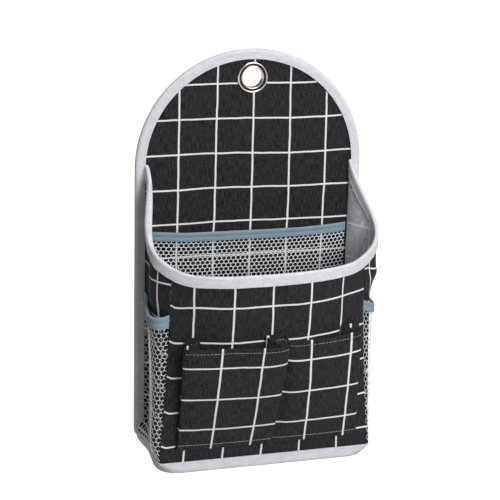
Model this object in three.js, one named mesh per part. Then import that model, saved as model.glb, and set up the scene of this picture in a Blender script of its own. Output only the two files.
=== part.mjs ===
// Hanging bedside organizer: a check cloth bag on an arched back panel, hung from one metal eyelet.
// Millimetres. The wall is the plane y = 0, the bag is in front of it towards -y, and +z is up.
// Heights below count from the base seam. The last lines move the origin to the eyelet's centre.
import * as THREE from 'three';

// Back panel
const PANEL_WIDTH = 200;
const PANEL_HEIGHT = 336;
const PANEL_CORNER_RADIUS = 12;
const EYELET_DROP = 24;

// Cloths, tapes and boards
const CLOTH = 0.8;
const TAPE = 0.8;
const TAPE_WIDTH = 9;
const NET = 0.8;
const BACK_BOARD = 1.8;
const BASE_BOARD = 1.5;
const SEAM_GAP = 0.4;
const PLY_GAP = 0.05;
const TAPE_SLACK = 0.6;
const BOARD_SLACK = 1;
const SEAM_ALLOWANCE = 7.8;
const BASE_HEM = 10;

// Bag walls: depths count from the front of the back panel
const BAG_DEPTH = 74;
const BASE_FRONT_WIDTH = 187;
const MOUTH_FRONT_HEIGHT = 165;
const MOUTH_BACK_HEIGHT = 240;
const MOUTH_RUNOUT = 20;
const LEFT_MOUTH_INSET = 9.5;
const LEFT_MOUTH_SETBACK = 6;
const LEFT_BULGE = 10.5;
const LEFT_CREST = 0.71;
const LEFT_SLUMP = 1.6;
const RIGHT_MOUTH_INSET = 6;
const RIGHT_MOUTH_SETBACK = 16;
const RIGHT_BULGE = 16.5;
const RIGHT_CREST = 0.58;
const RIGHT_SLUMP = 1;
const POCKET_PINCH = 0.25;
const FLARE_RISE = 18;
const FRONT_BULGE = 24;
const FRONT_BULGE_POWER = 2.8;

// Mesh pockets
const INNER_POCKET_HEIGHT = 180;
const INNER_POCKET_SLACK = 11;
const SIDE_POCKET_HEIGHT = 130;
const SIDE_POCKET_SLACK = 9;
const EDGE_TAPE_WIDTH = 9.5;
const INNER_MESH_PITCH = 17;
const SIDE_MESH_PITCH = 14;
const MESH_STRAND = 3;

// Front pocket, seen from the front
const POCKET_LEFT = -75;
const POCKET_SEAM = 9.5;
const POCKET_RIGHT = 84;
const POCKET_TOP = 104;
const POCKET_BOTTOM = 12;
const POCKET_DEPTH = 11;
const POCKET_BOTTOM_DEPTH = 1.2;
const POCKET_CROWN = 2;
const POCKET_SEAM_STRIP = 2.6;
const POCKET_FOLD_RADIUS = 2.5;

// Eyelet
const EYELET_HOLE = 17.5;
const EYELET_OUTER = 27;
const EYELET_WALL = 0.6;
const EYELET_DOME = 2.2;
const EYELET_WASHER = 0.6;
const EYELET_SIDES = 32;

const ARCH_RADIUS = PANEL_WIDTH / 2;
const ARCH_CENTRE = PANEL_HEIGHT - ARCH_RADIUS;
const EYELET_HEIGHT = PANEL_HEIGHT - EYELET_DROP;
const WALL_X = PANEL_WIDTH / 2 - TAPE_WIDTH;
const LINING_BACK = TAPE;
const BOARD_BACK = LINING_BACK + CLOTH;
const FACE_BACK = BOARD_BACK + BACK_BOARD;
const FACE_FRONT = FACE_BACK + CLOTH;
const SEAM_FRONT = FACE_FRONT + PLY_GAP + CLOTH;
const LEG_BACK = SEAM_FRONT + PLY_GAP;
const FLANGE_FRONT = LEG_BACK + TAPE;
const CLEAR_FRONT = FLANGE_FRONT + SEAM_GAP;
const START = (CLEAR_FRONT - SEAM_FRONT) / BAG_DEPTH;
const HEM_BOTTOM = -(BASE_HEM + TAPE);

// The mouth's front corners have come in and back from the base's, and the sides bulge out
const LEFT_MOUTH = {
  x: BASE_FRONT_WIDTH / 2 - LEFT_MOUTH_INSET,
  depth: BAG_DEPTH - LEFT_MOUTH_SETBACK,
  bulge: LEFT_BULGE,
  crest: LEFT_CREST,
  slump: LEFT_SLUMP,
};
const RIGHT_MOUTH = {
  x: BASE_FRONT_WIDTH / 2 - RIGHT_MOUTH_INSET,
  depth: BAG_DEPTH - RIGHT_MOUTH_SETBACK,
  bulge: RIGHT_BULGE,
  crest: RIGHT_CREST,
  slump: RIGHT_SLUMP,
};

// Finishes
const finish = (color, roughness, metalness = 0) =>
  new THREE.MeshStandardMaterial({ color, roughness, metalness });
const checkCloth = finish(0x2c2c31, 0.9);
const liningCloth = finish(0x7a7a7c, 0.9);
const whiteTape = finish(0xe2e0ea, 0.85);
const blueTape = finish(0x7c94a4, 0.8);
const whiteNet = finish(0xeceaf2, 0.8);
const greyBoard = finish(0x9c9890, 0.9);
const nickel = finish(0xc9c9cc, 0.22, 1);

const bag = new THREE.Group();

function add(name, geometry, material) {
  const mesh = new THREE.Mesh(geometry, material);
  mesh.name = name;
  bag.add(mesh);
  return mesh;
}

function lerp(a, b, t) {
  return a + (b - a) * t;
}

function clamp01(t) {
  return Math.min(Math.max(t, 0), 1);
}

// Evenly spaced values from one number to another, both included
function stations(from, to, count) {
  return Array.from({ length: count + 1 }, (_, i) => lerp(from, to, i / count));
}

function geometryOf(points, triangles) {
  const geometry = new THREE.BufferGeometry();
  geometry.setAttribute('position', new THREE.Float32BufferAttribute(points.flat(), 3));
  geometry.setIndex(triangles.flat());
  geometry.computeVertexNormals();
  return geometry;
}

function quad(a, b, c, d) {
  return [[a, b, c], [a, c, d]];
}

// A solid sheet of cloth: two grids of points joined round their rim.
// at(u, v, side) gives a point, with side 0 on the outer face and side 1 on the inner one.
function sheet(us, vs, at) {
  const points = [];
  const triangles = [];
  const columns = us.length;
  const rows = vs.length;
  const index = (i, j, side) => (side * rows + j) * columns + i;
  for (const side of [0, 1]) {
    for (const v of vs) {
      for (const u of us) points.push(at(u, v, side));
    }
  }
  for (let j = 0; j < rows - 1; j++) {
    for (let i = 0; i < columns - 1; i++) {
      triangles.push(...quad(index(i, j, 0), index(i + 1, j, 0), index(i + 1, j + 1, 0), index(i, j + 1, 0)));
      triangles.push(...quad(index(i, j, 1), index(i, j + 1, 1), index(i + 1, j + 1, 1), index(i + 1, j, 1)));
    }
  }
  for (let i = 0; i < columns - 1; i++) {
    const top = rows - 1;
    triangles.push(...quad(index(i, 0, 0), index(i, 0, 1), index(i + 1, 0, 1), index(i + 1, 0, 0)));
    triangles.push(...quad(index(i, top, 0), index(i + 1, top, 0), index(i + 1, top, 1), index(i, top, 1)));
  }
  for (let j = 0; j < rows - 1; j++) {
    const end = columns - 1;
    triangles.push(...quad(index(0, j, 0), index(0, j + 1, 0), index(0, j + 1, 1), index(0, j, 1)));
    triangles.push(...quad(index(end, j, 0), index(end, j, 1), index(end, j + 1, 1), index(end, j + 1, 0)));
  }
  return geometryOf(points, triangles);
}

// A tape folded to a U: rings of eight points, from the outer leg round to the inner one.
// An open tape gets its two ends closed.
function foldedTape(rings, closed) {
  const points = rings.flat();
  const triangles = [];
  const size = rings[0].length;
  const last = rings.length - 1;
  const runs = closed ? rings.length : last;
  const legs = [[0, 1, 6, 7], [1, 2, 5, 6], [2, 3, 4, 5]];
  for (let i = 0; i < runs; i++) {
    const next = (i + 1) % rings.length;
    for (let k = 0; k < size; k++) {
      const m = (k + 1) % size;
      triangles.push(...quad(i * size + k, next * size + k, next * size + m, i * size + m));
    }
  }
  if (!closed) {
    for (const leg of legs) {
      triangles.push(...quad(...leg));
      triangles.push(...quad(...leg.map((k) => last * size + k).reverse()));
    }
  }
  return geometryOf(points, triangles);
}

// A solid net: a sheet with rows of hexagonal gaps, each row half a pitch along from the last.
// The rims are straight, and at(u, v, side) lays the sheet on a surface, as for a plain one.
function net(width, height, pitch, at) {
  const columns = Math.round(width / pitch);
  const rows = Math.round(height / (pitch * Math.sqrt(3) / 2));
  const cell = { u: 1 / columns, v: 1 / rows };
  const gapScale = 1 - MESH_STRAND / pitch;
  const rim = MESH_STRAND / height;
  const hexagon = [[0, 2], [-1.5, 1], [-1.5, -1], [0, -2], [1.5, -1], [1.5, 1]];
  const flat = [];
  const found = new Map();
  const vertex = (u, v) => {
    const key = `${Math.round(u * 1e5)} ${Math.round(v * 1e5)}`;
    if (!found.has(key)) found.set(key, flat.push([u, v]) - 1);
    return found.get(key);
  };
  const toRim = (v) => (v < cell.v * 0.2 ? 0 : v > 1 - cell.v * 0.2 ? 1 : v);
  const faces = [];
  for (let row = 0; row < rows; row++) {
    const shifted = row % 2;
    const v = (row + 0.5) * cell.v;
    const [low, high] = [toRim(v - cell.v * 2 / 3), toRim(v + cell.v * 2 / 3)];
    const [lower, upper] = [toRim(v - cell.v / 3), toRim(v + cell.v / 3)];
    for (let column = 0; column < columns - shifted; column++) {
      const u = (column + 0.5 + shifted / 2) * cell.u;
      const around = hexagon.map(([a, b]) => vertex(u + a * cell.u / 3, toRim(v + b * cell.v / 3)));
      const gap = hexagon.map(([a, b]) => vertex(
        u + gapScale * a * cell.u / 3,
        Math.min(Math.max(v + gapScale * b * cell.v / 3, rim), 1 - rim)));
      for (let k = 0; k < 6; k++) {
        const next = (k + 1) % 6;
        faces.push(...quad(around[k], around[next], gap[next], gap[k]));
      }
    }
    if (shifted) {
      const half = cell.u / 2;
      faces.push(...quad(vertex(0, low), vertex(half, lower), vertex(half, upper), vertex(0, high)));
      faces.push(...quad(vertex(1 - half, lower), vertex(1, low), vertex(1, high), vertex(1 - half, upper)));
    }
  }
  const count = flat.length;
  const points = [0, 1].flatMap((side) => flat.map(([u, v]) => at(u, v, side)));
  const triangles = [...faces];
  const edges = new Set(faces.flatMap(([a, b, c]) => [`${a} ${b}`, `${b} ${c}`, `${c} ${a}`]));
  for (const [a, b, c] of faces) triangles.push([a + count, c + count, b + count]);
  for (const edge of edges) {
    const [a, b] = edge.split(' ').map(Number);
    if (!edges.has(`${b} ${a}`)) triangles.push(...quad(b, a, a + count, b + count));
  }
  return geometryOf(points, triangles);
}

// Back panel outline, set in from its edge: an arch over a straight panel with rounded lower corners
function panelOutline(inset) {
  const points = [];
  const cornerX = PANEL_WIDTH / 2 - PANEL_CORNER_RADIUS;
  const cornerZ = HEM_BOTTOM + PANEL_CORNER_RADIUS;
  const arc = (x, z, radius, from, to, count) => {
    for (const degrees of stations(from, to, count)) {
      const a = (Math.PI / 180) * degrees;
      points.push([x + radius * Math.cos(a), z + radius * Math.sin(a)]);
    }
  };
  arc(0, ARCH_CENTRE, ARCH_RADIUS - inset, 0, 180, 40);
  arc(-cornerX, cornerZ, PANEL_CORNER_RADIUS - inset, 180, 270, 5);
  arc(cornerX, cornerZ, PANEL_CORNER_RADIUS - inset, 270, 360, 5);
  return points;
}

// A flat layer of the back panel between two depths, with the eyelet's hole through it
function panelLayer(inset, back, front) {
  const shape = new THREE.Shape(panelOutline(inset).map(([x, z]) => new THREE.Vector2(x, z)));
  const hole = new THREE.Path();
  hole.absarc(0, EYELET_HEIGHT, EYELET_HOLE / 2 + EYELET_WALL + SEAM_GAP, 0, 2 * Math.PI, true);
  shape.holes.push(hole);
  const geometry = new THREE.ExtrudeGeometry(shape, {
    depth: front - back, bevelEnabled: false, steps: 1, curveSegments: 24 });
  geometry.rotateX(Math.PI / 2);
  geometry.translate(0, -back, 0);
  return geometry;
}

function makeBackPanel() {
  const underTape = TAPE + SEAM_GAP;
  add('back_lining', panelLayer(underTape, LINING_BACK, BOARD_BACK), liningCloth);
  add('back_board', panelLayer(TAPE_WIDTH + SEAM_GAP, BOARD_BACK, FACE_BACK), greyBoard);
  add('back_face_fabric', panelLayer(underTape, FACE_BACK, FACE_FRONT), checkCloth);

  const leg = TAPE_WIDTH - SEAM_GAP;
  const section = [
    [leg, 0], [0, 0], [0, FLANGE_FRONT], [leg, FLANGE_FRONT],
    [leg, LEG_BACK], [TAPE, LEG_BACK], [TAPE, TAPE], [leg, TAPE],
  ];
  const outlines = section.map(([inset]) => panelOutline(inset));
  const rings = outlines[0].map((_, i) =>
    section.map(([, depth], k) => [outlines[k][i][0], -depth, outlines[k][i][1]]));
  add('back_binding', foldedTape(rings, true), whiteTape);
}

function makeEyelet() {
  const bore = EYELET_HOLE / 2;
  const barrel = bore + EYELET_WALL;
  const rim = EYELET_OUTER / 2;
  const crest = (barrel + rim) / 2;
  const half = (rim - crest) / 2;
  const seat = FACE_FRONT + PLY_GAP;
  const top = FACE_FRONT + EYELET_DOME;
  const shoulder = top - EYELET_DOME * 0.2;
  const inside = top - EYELET_WALL * 1.6;
  const washerBack = LINING_BACK - EYELET_WASHER;
  const flange = [
    [bore, washerBack], [bore, shoulder - EYELET_WALL], [bore + EYELET_WALL, shoulder],
    [crest, top], [crest + half, shoulder], [rim, seat],
    [rim - EYELET_WALL, seat], [crest, inside], [barrel, seat], [barrel, washerBack],
  ];
  const washer = [
    [barrel + SEAM_GAP, LINING_BACK], [rim, LINING_BACK], [rim, LINING_BACK - EYELET_WASHER / 2],
    [crest, washerBack], [barrel + SEAM_GAP, washerBack],
  ];
  const turn = (profile) => {
    const outline = [...profile, profile[0]].map(([r, depth]) => new THREE.Vector2(r, -depth));
    return new THREE.LatheGeometry(outline, EYELET_SIDES);
  };
  const front = add('eyelet_flange', turn(flange), nickel);
  const back = add('eyelet_washer', turn(washer), nickel);
  front.position.z = EYELET_HEIGHT;
  back.position.z = EYELET_HEIGHT;
}

// How far the walls have relaxed from their sewn shape at the base to their shape at the mouth
function relaxed(z) {
  return Math.sin((Math.PI / 2) * clamp01(z / MOUTH_FRONT_HEIGHT));
}

// How much of a side wall's bulge shows at a height: the pocket's tape pinches it, and it flares above
function flared(z) {
  const below = POCKET_PINCH * Math.sin((Math.PI / 2) * clamp01(z / SIDE_POCKET_HEIGHT));
  const t = clamp01((z - SIDE_POCKET_HEIGHT) / FLARE_RISE);
  return lerp(below, 1, t * t * (3 - 2 * t));
}

// A swelling from 0 at both ends to 1 at its crest, which lies a given share of the way along
function swelling(along, crest) {
  return Math.sin(Math.PI * clamp01(along) ** (Math.log(0.5) / Math.log(crest)));
}

// Front corner of the walls at a height: side is -1 on the left and 1 on the right
function frontCorner(side, z) {
  const mouth = side < 0 ? LEFT_MOUTH : RIGHT_MOUTH;
  const t = relaxed(z);
  return {
    x: side * lerp(BASE_FRONT_WIDTH / 2, mouth.x, t),
    y: -FACE_FRONT - lerp(BAG_DEPTH, mouth.depth, t),
  };
}

// Plan of the walls' outer face at a height. u runs 0 to 1 along the left side from the back,
// 1 to 2 across the front and 2 to 3 back along the right side; beyond, it lies on the back panel.
function wallPlan(u, z) {
  if (u < 0) return { x: -WALL_X + u * SEAM_ALLOWANCE, y: -SEAM_FRONT };
  if (u > 3) return { x: WALL_X + (u - 3) * SEAM_ALLOWANCE, y: -SEAM_FRONT };
  if (u >= 1 && u <= 2) {
    const left = frontCorner(-1, z);
    const right = frontCorner(1, z);
    const along = u - 1;
    const swell = FRONT_BULGE * relaxed(z) * (1 - Math.abs(2 * along - 1) ** FRONT_BULGE_POWER);
    return { x: lerp(left.x, right.x, along), y: lerp(left.y, right.y, along) - swell };
  }
  const side = u < 1 ? -1 : 1;
  const fromBack = u < 1 ? u : 3 - u;
  if (fromBack < START) {
    return { x: side * WALL_X, y: lerp(-SEAM_FRONT, -CLEAR_FRONT, fromBack / START) };
  }
  const along = (fromBack - START) / (1 - START);
  const mouth = side < 0 ? LEFT_MOUTH : RIGHT_MOUTH;
  const corner = frontCorner(side, z);
  const swell = mouth.bulge * flared(z) * swelling(along, mouth.crest);
  return {
    x: lerp(side * WALL_X, corner.x, along) + side * swell,
    y: lerp(-CLEAR_FRONT, corner.y, along),
  };
}

// A point on the walls, set in from their outer face (set out where inset is negative)
function wallPoint(u, z, inset) {
  const step = 1e-4;
  const here = wallPlan(u, z);
  const before = wallPlan(u - step, z);
  const after = wallPlan(u + step, z);
  const normal = (a, b) => {
    const length = Math.hypot(b.x - a.x, b.y - a.y);
    return { x: -(b.y - a.y) / length, y: (b.x - a.x) / length };
  };
  const n0 = normal(before, here);
  const n1 = normal(here, after);
  const mitre = inset / (1 + n0.x * n1.x + n0.y * n1.y);
  return [here.x + (n0.x + n1.x) * mitre, here.y + (n0.y + n1.y) * mitre, z];
}

// The same, kept just clear of the tape on the back panel
function pointBesideFlange(u, z, inset) {
  const [x, y, height] = wallPoint(u, z, inset);
  return [x, Math.min(y, -CLEAR_FRONT), height];
}

// A point set out from a side wall: sideways at the back seam, and square to the wall further on
function pointOutside(side, u, z, out) {
  const along = side < 0 ? u : 3 - u;
  const base = wallPlan(along, z);
  const [x, y] = wallPoint(along, z, -out);
  const square = clamp01((u - START) * 5);
  return [lerp(base.x + side * out, x, square), lerp(base.y, y, square), z];
}

// Height of the mouth's edge: high at the back, falling along the sides and level across the front
function mouthHeight(u) {
  const fromLeft = u < 1.5;
  const mouth = fromLeft ? LEFT_MOUTH : RIGHT_MOUTH;
  const along = Math.max(fromLeft ? u : 3 - u, 0);
  const frontWidth = LEFT_MOUTH.x + RIGHT_MOUTH.x;
  const distance = along < 1 ? along * BAG_DEPTH : BAG_DEPTH + (along - 1) * frontWidth;
  const t = clamp01(distance / (BAG_DEPTH + MOUTH_RUNOUT));
  const fall = (1 - (1 - t) ** 2) ** mouth.slump;
  return lerp(MOUTH_BACK_HEIGHT, MOUTH_FRONT_HEIGHT, fall);
}

// Height up a wall for v: below 0 it hangs down in the base seam, and 1 is the mouth's edge.
// The hanging hem is cut back at the back corners, where the back panel's own tape passes.
function wallHeight(u, v) {
  const besideFlange = u <= START || u >= 3 - START;
  const hem = SEAM_GAP + (besideFlange ? HEM_BOTTOM + PANEL_CORNER_RADIUS : -BASE_HEM);
  return v < 0 ? hem : lerp(Math.max(hem + CLOTH, 0), mouthHeight(u) - SEAM_GAP, v);
}

// Places along one side wall, from the back, and across the front, with more where it turns
const SIDE_STATIONS = [START, ...stations(0.08, 0.92, 11)];
const FRONT_TURN = [0.02, 0.05, 0.09, 0.14, 0.2];
const FRONT_STATIONS = [
  ...FRONT_TURN, ...stations(0.28, 0.72, 6), ...FRONT_TURN.map((f) => 1 - f).reverse(),
].map((f) => 1 + f);

// A wall panel. Its edges at the front corners are mitred and stand half a seam gap apart.
function wallPanel(us) {
  const middle = us[Math.floor(us.length / 2)];
  const rows = [-1, ...stations(0, 1, 11)];
  return sheet(us, rows, (u, v, side) => {
    const z = wallHeight(u, v);
    const point = new THREE.Vector3(...wallPoint(u, z, side * CLOTH));
    if (u !== 1 && u !== 2) return point.toArray();
    const inward = new THREE.Vector3(...wallPoint(u + 0.01 * Math.sign(middle - u), z, side * CLOTH));
    return point.add(inward.sub(point).setLength(SEAM_GAP / 2)).toArray();
  });
}

function makeWalls() {
  add('left_side_panel', wallPanel([-1, 0, ...SIDE_STATIONS, 1]), checkCloth);
  add('front_panel', wallPanel([1, ...FRONT_STATIONS, 2]), checkCloth);
  const rightStations = SIDE_STATIONS.map((u) => 3 - u).reverse();
  add('right_side_panel', wallPanel([2, ...rightStations, 3, 4]), checkCloth);
}

// One ring of the tape folded over the mouth's edge, square to the edge along the wall
function mouthRing(u) {
  const step = 1e-3;
  const onFront = u > 1 && u < 2;
  const length = onFront ? LEFT_MOUTH.x + RIGHT_MOUTH.x : BAG_DEPTH;
  const rise = (mouthHeight(u + step) - mouthHeight(u - step)) / (2 * step * length);
  const run = Math.hypot(1, rise);
  const outer = -(TAPE_SLACK + TAPE);
  const inner = CLOTH + TAPE_SLACK + TAPE;
  const place = (down, inset) => {
    const shift = (down * rise) / run / length;
    const low = onFront ? 1 : u <= 1 ? START : 2;
    const high = onFront ? 2 : u <= 1 ? 1 : 3 - START;
    const along = Math.min(Math.max(u + shift, low), high);
    return pointBesideFlange(along, mouthHeight(u) - down / run, inset);
  };
  return [
    place(TAPE_WIDTH, outer), place(-TAPE, outer), place(-TAPE, inner), place(TAPE_WIDTH, inner),
    place(TAPE_WIDTH, inner - TAPE), place(0, inner - TAPE), place(0, -TAPE_SLACK), place(TAPE_WIDTH, -TAPE_SLACK),
  ];
}

function makeBindings() {
  const rightStations = SIDE_STATIONS.map((u) => 3 - u).reverse();
  const path = [...SIDE_STATIONS, 1, ...FRONT_STATIONS, 2, ...rightStations];
  add('mouth_binding', foldedTape(path.map(mouthRing), false), whiteTape);

  const outer = -(SEAM_GAP + TAPE);
  const inner = 2 * CLOTH + 2 * SEAM_GAP + TAPE;
  const baseRing = (u) => [
    wallPoint(u, 0, outer), wallPoint(u, HEM_BOTTOM, outer),
    wallPoint(u, HEM_BOTTOM, inner), wallPoint(u, -CLOTH - SEAM_GAP, inner),
    wallPoint(u, -CLOTH - SEAM_GAP, inner - TAPE), wallPoint(u, -BASE_HEM, inner - TAPE),
    wallPoint(u, -BASE_HEM, -SEAM_GAP), wallPoint(u, 0, -SEAM_GAP),
  ];
  const start = START + (CLOTH + 2 * SEAM_GAP) / BAG_DEPTH;
  const basePath = [start, 0.5, 1, 1.5, 2, 2.5, 3 - start];
  add('base_binding', foldedTape(basePath.map(baseRing).reverse(), false), whiteTape);
}

// The base: a cloth with its edges turned down into the seam, a board on it and a cloth over that
function makeBase() {
  const inset = CLOTH + SEAM_GAP;
  const corners = [[-1, 0, 1], [-1, 1, 1], [1, 1, 1], [1, 0, 1]];
  const rectangle = (edge) => corners.map(([side, atFront]) => {
    const x = atFront ? BASE_FRONT_WIDTH / 2 : WALL_X;
    const y = atFront ? FACE_FRONT + BAG_DEPTH - edge : CLEAR_FRONT + edge - inset;
    return [side * (x - edge), -y];
  });
  const ring = (edge, z) => rectangle(edge).map(([x, y]) => [x, y, z]);
  const rim = inset + CLOTH;
  const levels = [
    ring(inset, -BASE_HEM + SEAM_GAP), ring(inset, 0), ring(rim, -CLOTH), ring(rim, -BASE_HEM + SEAM_GAP),
  ];
  const points = levels.flat();
  const triangles = [];
  for (let i = 0; i < 4; i++) {
    const next = (i + 1) % 4;
    triangles.push(...quad(i, next, 4 + next, 4 + i));
    triangles.push(...quad(8 + i, 8 + next, 12 + next, 12 + i));
    triangles.push(...quad(12 + i, 12 + next, next, i));
  }
  triangles.push(...quad(4, 5, 6, 7));
  triangles.push(...quad(11, 10, 9, 8));
  add('base_fabric', geometryOf(points, triangles), liningCloth);

  const slab = (edge, bottom, thickness) => {
    const shape = new THREE.Shape(rectangle(edge).map(([x, y]) => new THREE.Vector2(x, y)));
    const geometry = new THREE.ExtrudeGeometry(shape, { depth: thickness, bevelEnabled: false, steps: 1 });
    geometry.translate(0, 0, bottom);
    return geometry;
  };
  const loose = inset + BOARD_SLACK;
  add('base_board', slab(loose, 0, BASE_BOARD), greyBoard);
  add('base_lining', slab(loose, BASE_BOARD, CLOTH), liningCloth);
}

// The pocket on the back panel, inside the bag: held at both sides and the base, slack in the middle
function innerPocketPoint(u, z, out) {
  const halfWidth = WALL_X - CLOTH - 2 * SEAM_GAP - TAPE;
  const x = lerp(-halfWidth, halfWidth, u);
  const slack = INNER_POCKET_SLACK * (1 - Math.abs(2 * u - 1) ** 4) * clamp01(z / INNER_POCKET_HEIGHT);
  return [x, -(FACE_FRONT + SEAM_GAP + TAPE + slack + out), z];
}

// Pockets on the outsides of the walls, held at the back, the front corner and the base
function sidePocketPoint(side, u, z, out) {
  const { crest } = side < 0 ? LEFT_MOUTH : RIGHT_MOUTH;
  const fromBack = side < 0 ? u : 1 - u;
  const end = 1 - (2 * SEAM_GAP) / BAG_DEPTH;
  const along = lerp(START, end, fromBack);
  const swell = SIDE_POCKET_SLACK * swelling(fromBack, crest) * clamp01(z / SIDE_POCKET_HEIGHT);
  return pointOutside(side, along, z, 2 * SEAM_GAP + TAPE + swell + out);
}

// A tape folded over a net's top edge, from the net's own surface
function netTape(us, height, surface) {
  const legs = NET + SEAM_GAP + TAPE;
  const ring = (u) => {
    const p = (down, out) => surface(u, height - down, out);
    return [
      p(EDGE_TAPE_WIDTH, legs), p(0, legs), p(0, -SEAM_GAP - TAPE), p(EDGE_TAPE_WIDTH, -SEAM_GAP - TAPE),
      p(EDGE_TAPE_WIDTH, -SEAM_GAP), p(TAPE, -SEAM_GAP), p(TAPE, NET + SEAM_GAP), p(EDGE_TAPE_WIDTH, NET + SEAM_GAP),
    ];
  };
  return foldedTape(us.map(ring), false);
}

function makeMeshPockets() {
  const innerTop = INNER_POCKET_HEIGHT - TAPE - SEAM_GAP;
  const innerBottom = BASE_BOARD + CLOTH + SEAM_GAP;
  const innerNet = net(2 * WALL_X, innerTop - innerBottom, INNER_MESH_PITCH, (u, v, side) =>
    innerPocketPoint(u, lerp(innerBottom, innerTop, v), NET * (1 - side)));
  add('inner_mesh_net', innerNet, whiteNet);
  add('inner_mesh_tape', netTape(stations(0, 1, 22), INNER_POCKET_HEIGHT, innerPocketPoint), blueTape);

  for (const [name, side] of [['left', -1], ['right', 1]]) {
    const top = SIDE_POCKET_HEIGHT - TAPE - SEAM_GAP;
    const surface = (u, z, out) => sidePocketPoint(side, u, z, out);
    const sideNet = net(BAG_DEPTH, top - SEAM_GAP, SIDE_MESH_PITCH, (u, v, face) =>
      surface(u, lerp(SEAM_GAP, top, v), NET * (1 - face)));
    add(`${name}_mesh_net`, sideNet, whiteNet);
    add(`${name}_mesh_tape`, netTape(stations(0, 1, 15), SIDE_POCKET_HEIGHT, surface), blueTape);
  }
}

// One pouch of the front pocket across its width: gusset out, fold, crowned face, fold, gusset back
function pouchSection(from, to, depth) {
  const fold = Math.min(POCKET_FOLD_RADIUS, depth * 0.6);
  const points = [[from, 0], [from, (depth - fold) / 2]];
  for (const a of stations(0, Math.PI / 2, 3)) {
    points.push([from + fold * (1 - Math.cos(a)), depth - fold * (1 - Math.sin(a))]);
  }
  for (const f of stations(0, 1, 8).slice(1, -1)) {
    const crown = POCKET_CROWN * Math.sin(Math.PI * f) * depth / POCKET_DEPTH;
    points.push([lerp(from + fold, to - fold, f), depth + crown]);
  }
  for (const a of stations(Math.PI / 2, 0, 3)) {
    points.push([to - fold * (1 - Math.cos(a)), depth - fold * (1 - Math.sin(a))]);
  }
  points.push([to, (depth - fold) / 2], [to, 0]);
  return points;
}

function makeFrontPocket() {
  const heights = stations(POCKET_BOTTOM, POCKET_TOP, 9);
  const offset = SEAM_GAP + CLOTH / 2;
  const grid = heights.map((z) => {
    const t = (z - POCKET_BOTTOM) / (POCKET_TOP - POCKET_BOTTOM);
    const depth = lerp(POCKET_BOTTOM_DEPTH, POCKET_DEPTH, t ** 0.8);
    const strip = POCKET_SEAM_STRIP / 2;
    const section = [
      ...pouchSection(POCKET_LEFT, POCKET_SEAM - strip, depth),
      ...pouchSection(POCKET_SEAM + strip, POCKET_RIGHT, depth),
    ];
    const left = frontCorner(-1, z).x;
    const right = frontCorner(1, z).x;
    return section.map(([x, out]) => {
      const u = 1 + clamp01((x - left) / (right - left));
      return new THREE.Vector3(...wallPoint(u, z, -(offset + out)));
    });
  });
  const columns = grid[0].length;
  const face = (i, j, side) => {
    const left = grid[j][Math.max(i - 1, 0)];
    const right = grid[j][Math.min(i + 1, columns - 1)];
    const below = grid[Math.max(j - 1, 0)][i];
    const above = grid[Math.min(j + 1, grid.length - 1)][i];
    const normal = right.clone().sub(left).cross(above.clone().sub(below)).normalize();
    return grid[j][i].clone().addScaledVector(normal, (CLOTH / 2) * (1 - 2 * side)).toArray();
  };
  const us = stations(0, columns - 1, columns - 1);
  const vs = stations(0, grid.length - 1, grid.length - 1);
  add('front_pocket', sheet(us, vs, face), checkCloth);
}

makeBackPanel();
makeEyelet();
makeWalls();
makeBindings();
makeBase();
makeMeshPockets();
makeFrontPocket();

// The origin is the eyelet's centre, in the plane of the wall
bag.position.z = -EYELET_HEIGHT;
const group = new THREE.Group();
group.add(bag);

export default group;
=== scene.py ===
# %% [markdown]
# A hanging bedside organizer: a check cloth bag sewn to a stiff arched back panel, bound with
# white tape, with mesh pockets inside and at both sides, two pouches in front, and one nickel
# eyelet to hang it by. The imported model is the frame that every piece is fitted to, so it is
# loaded first.
# %% Load the frame
import functools
import math

import bmesh
import bpy
from mathutils import Matrix, Vector, noise


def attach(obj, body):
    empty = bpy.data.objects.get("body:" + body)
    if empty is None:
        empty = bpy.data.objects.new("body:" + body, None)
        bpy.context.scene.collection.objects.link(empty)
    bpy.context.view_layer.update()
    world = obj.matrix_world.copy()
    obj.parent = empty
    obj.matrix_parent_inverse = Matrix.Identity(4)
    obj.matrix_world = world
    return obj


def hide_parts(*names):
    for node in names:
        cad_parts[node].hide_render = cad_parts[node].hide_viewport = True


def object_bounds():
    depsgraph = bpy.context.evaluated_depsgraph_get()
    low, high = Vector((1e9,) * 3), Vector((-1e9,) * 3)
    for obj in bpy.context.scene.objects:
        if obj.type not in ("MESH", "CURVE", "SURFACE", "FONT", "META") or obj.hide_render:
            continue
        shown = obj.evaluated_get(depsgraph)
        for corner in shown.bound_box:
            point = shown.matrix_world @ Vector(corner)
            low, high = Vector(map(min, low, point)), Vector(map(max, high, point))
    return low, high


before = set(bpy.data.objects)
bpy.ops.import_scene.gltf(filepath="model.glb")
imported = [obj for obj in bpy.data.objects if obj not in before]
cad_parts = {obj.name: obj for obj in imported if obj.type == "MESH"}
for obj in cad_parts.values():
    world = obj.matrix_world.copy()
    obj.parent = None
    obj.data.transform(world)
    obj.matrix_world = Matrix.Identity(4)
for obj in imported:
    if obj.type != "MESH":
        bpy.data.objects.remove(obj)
cad_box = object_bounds()
print("nodes in the frame:", len(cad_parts))

# %% [markdown]
# The camera comes early, because every later choice is judged through it. The lens is long and
# stands a little to the left and above, so upright edges stay nearly parallel. Its axes are
# worked out from three angles instead of a look-at constraint, because a constraint can't give
# the slight roll.
# %% Camera
MM = 0.001
EYELET_HEIGHT = 312
BACK_FACE = 4.2
FRAME_PIXELS = 500
SENSOR = 36
FOCAL_PIXELS = 1424.37
CAMERA_DISTANCE = 1241.57
CAMERA_ANGLES = [math.radians(a) for a in (-16.42, 17.07, -1.68)]
CAMERA_AIM = (2.35, -BACK_FACE, 159.86)


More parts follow.
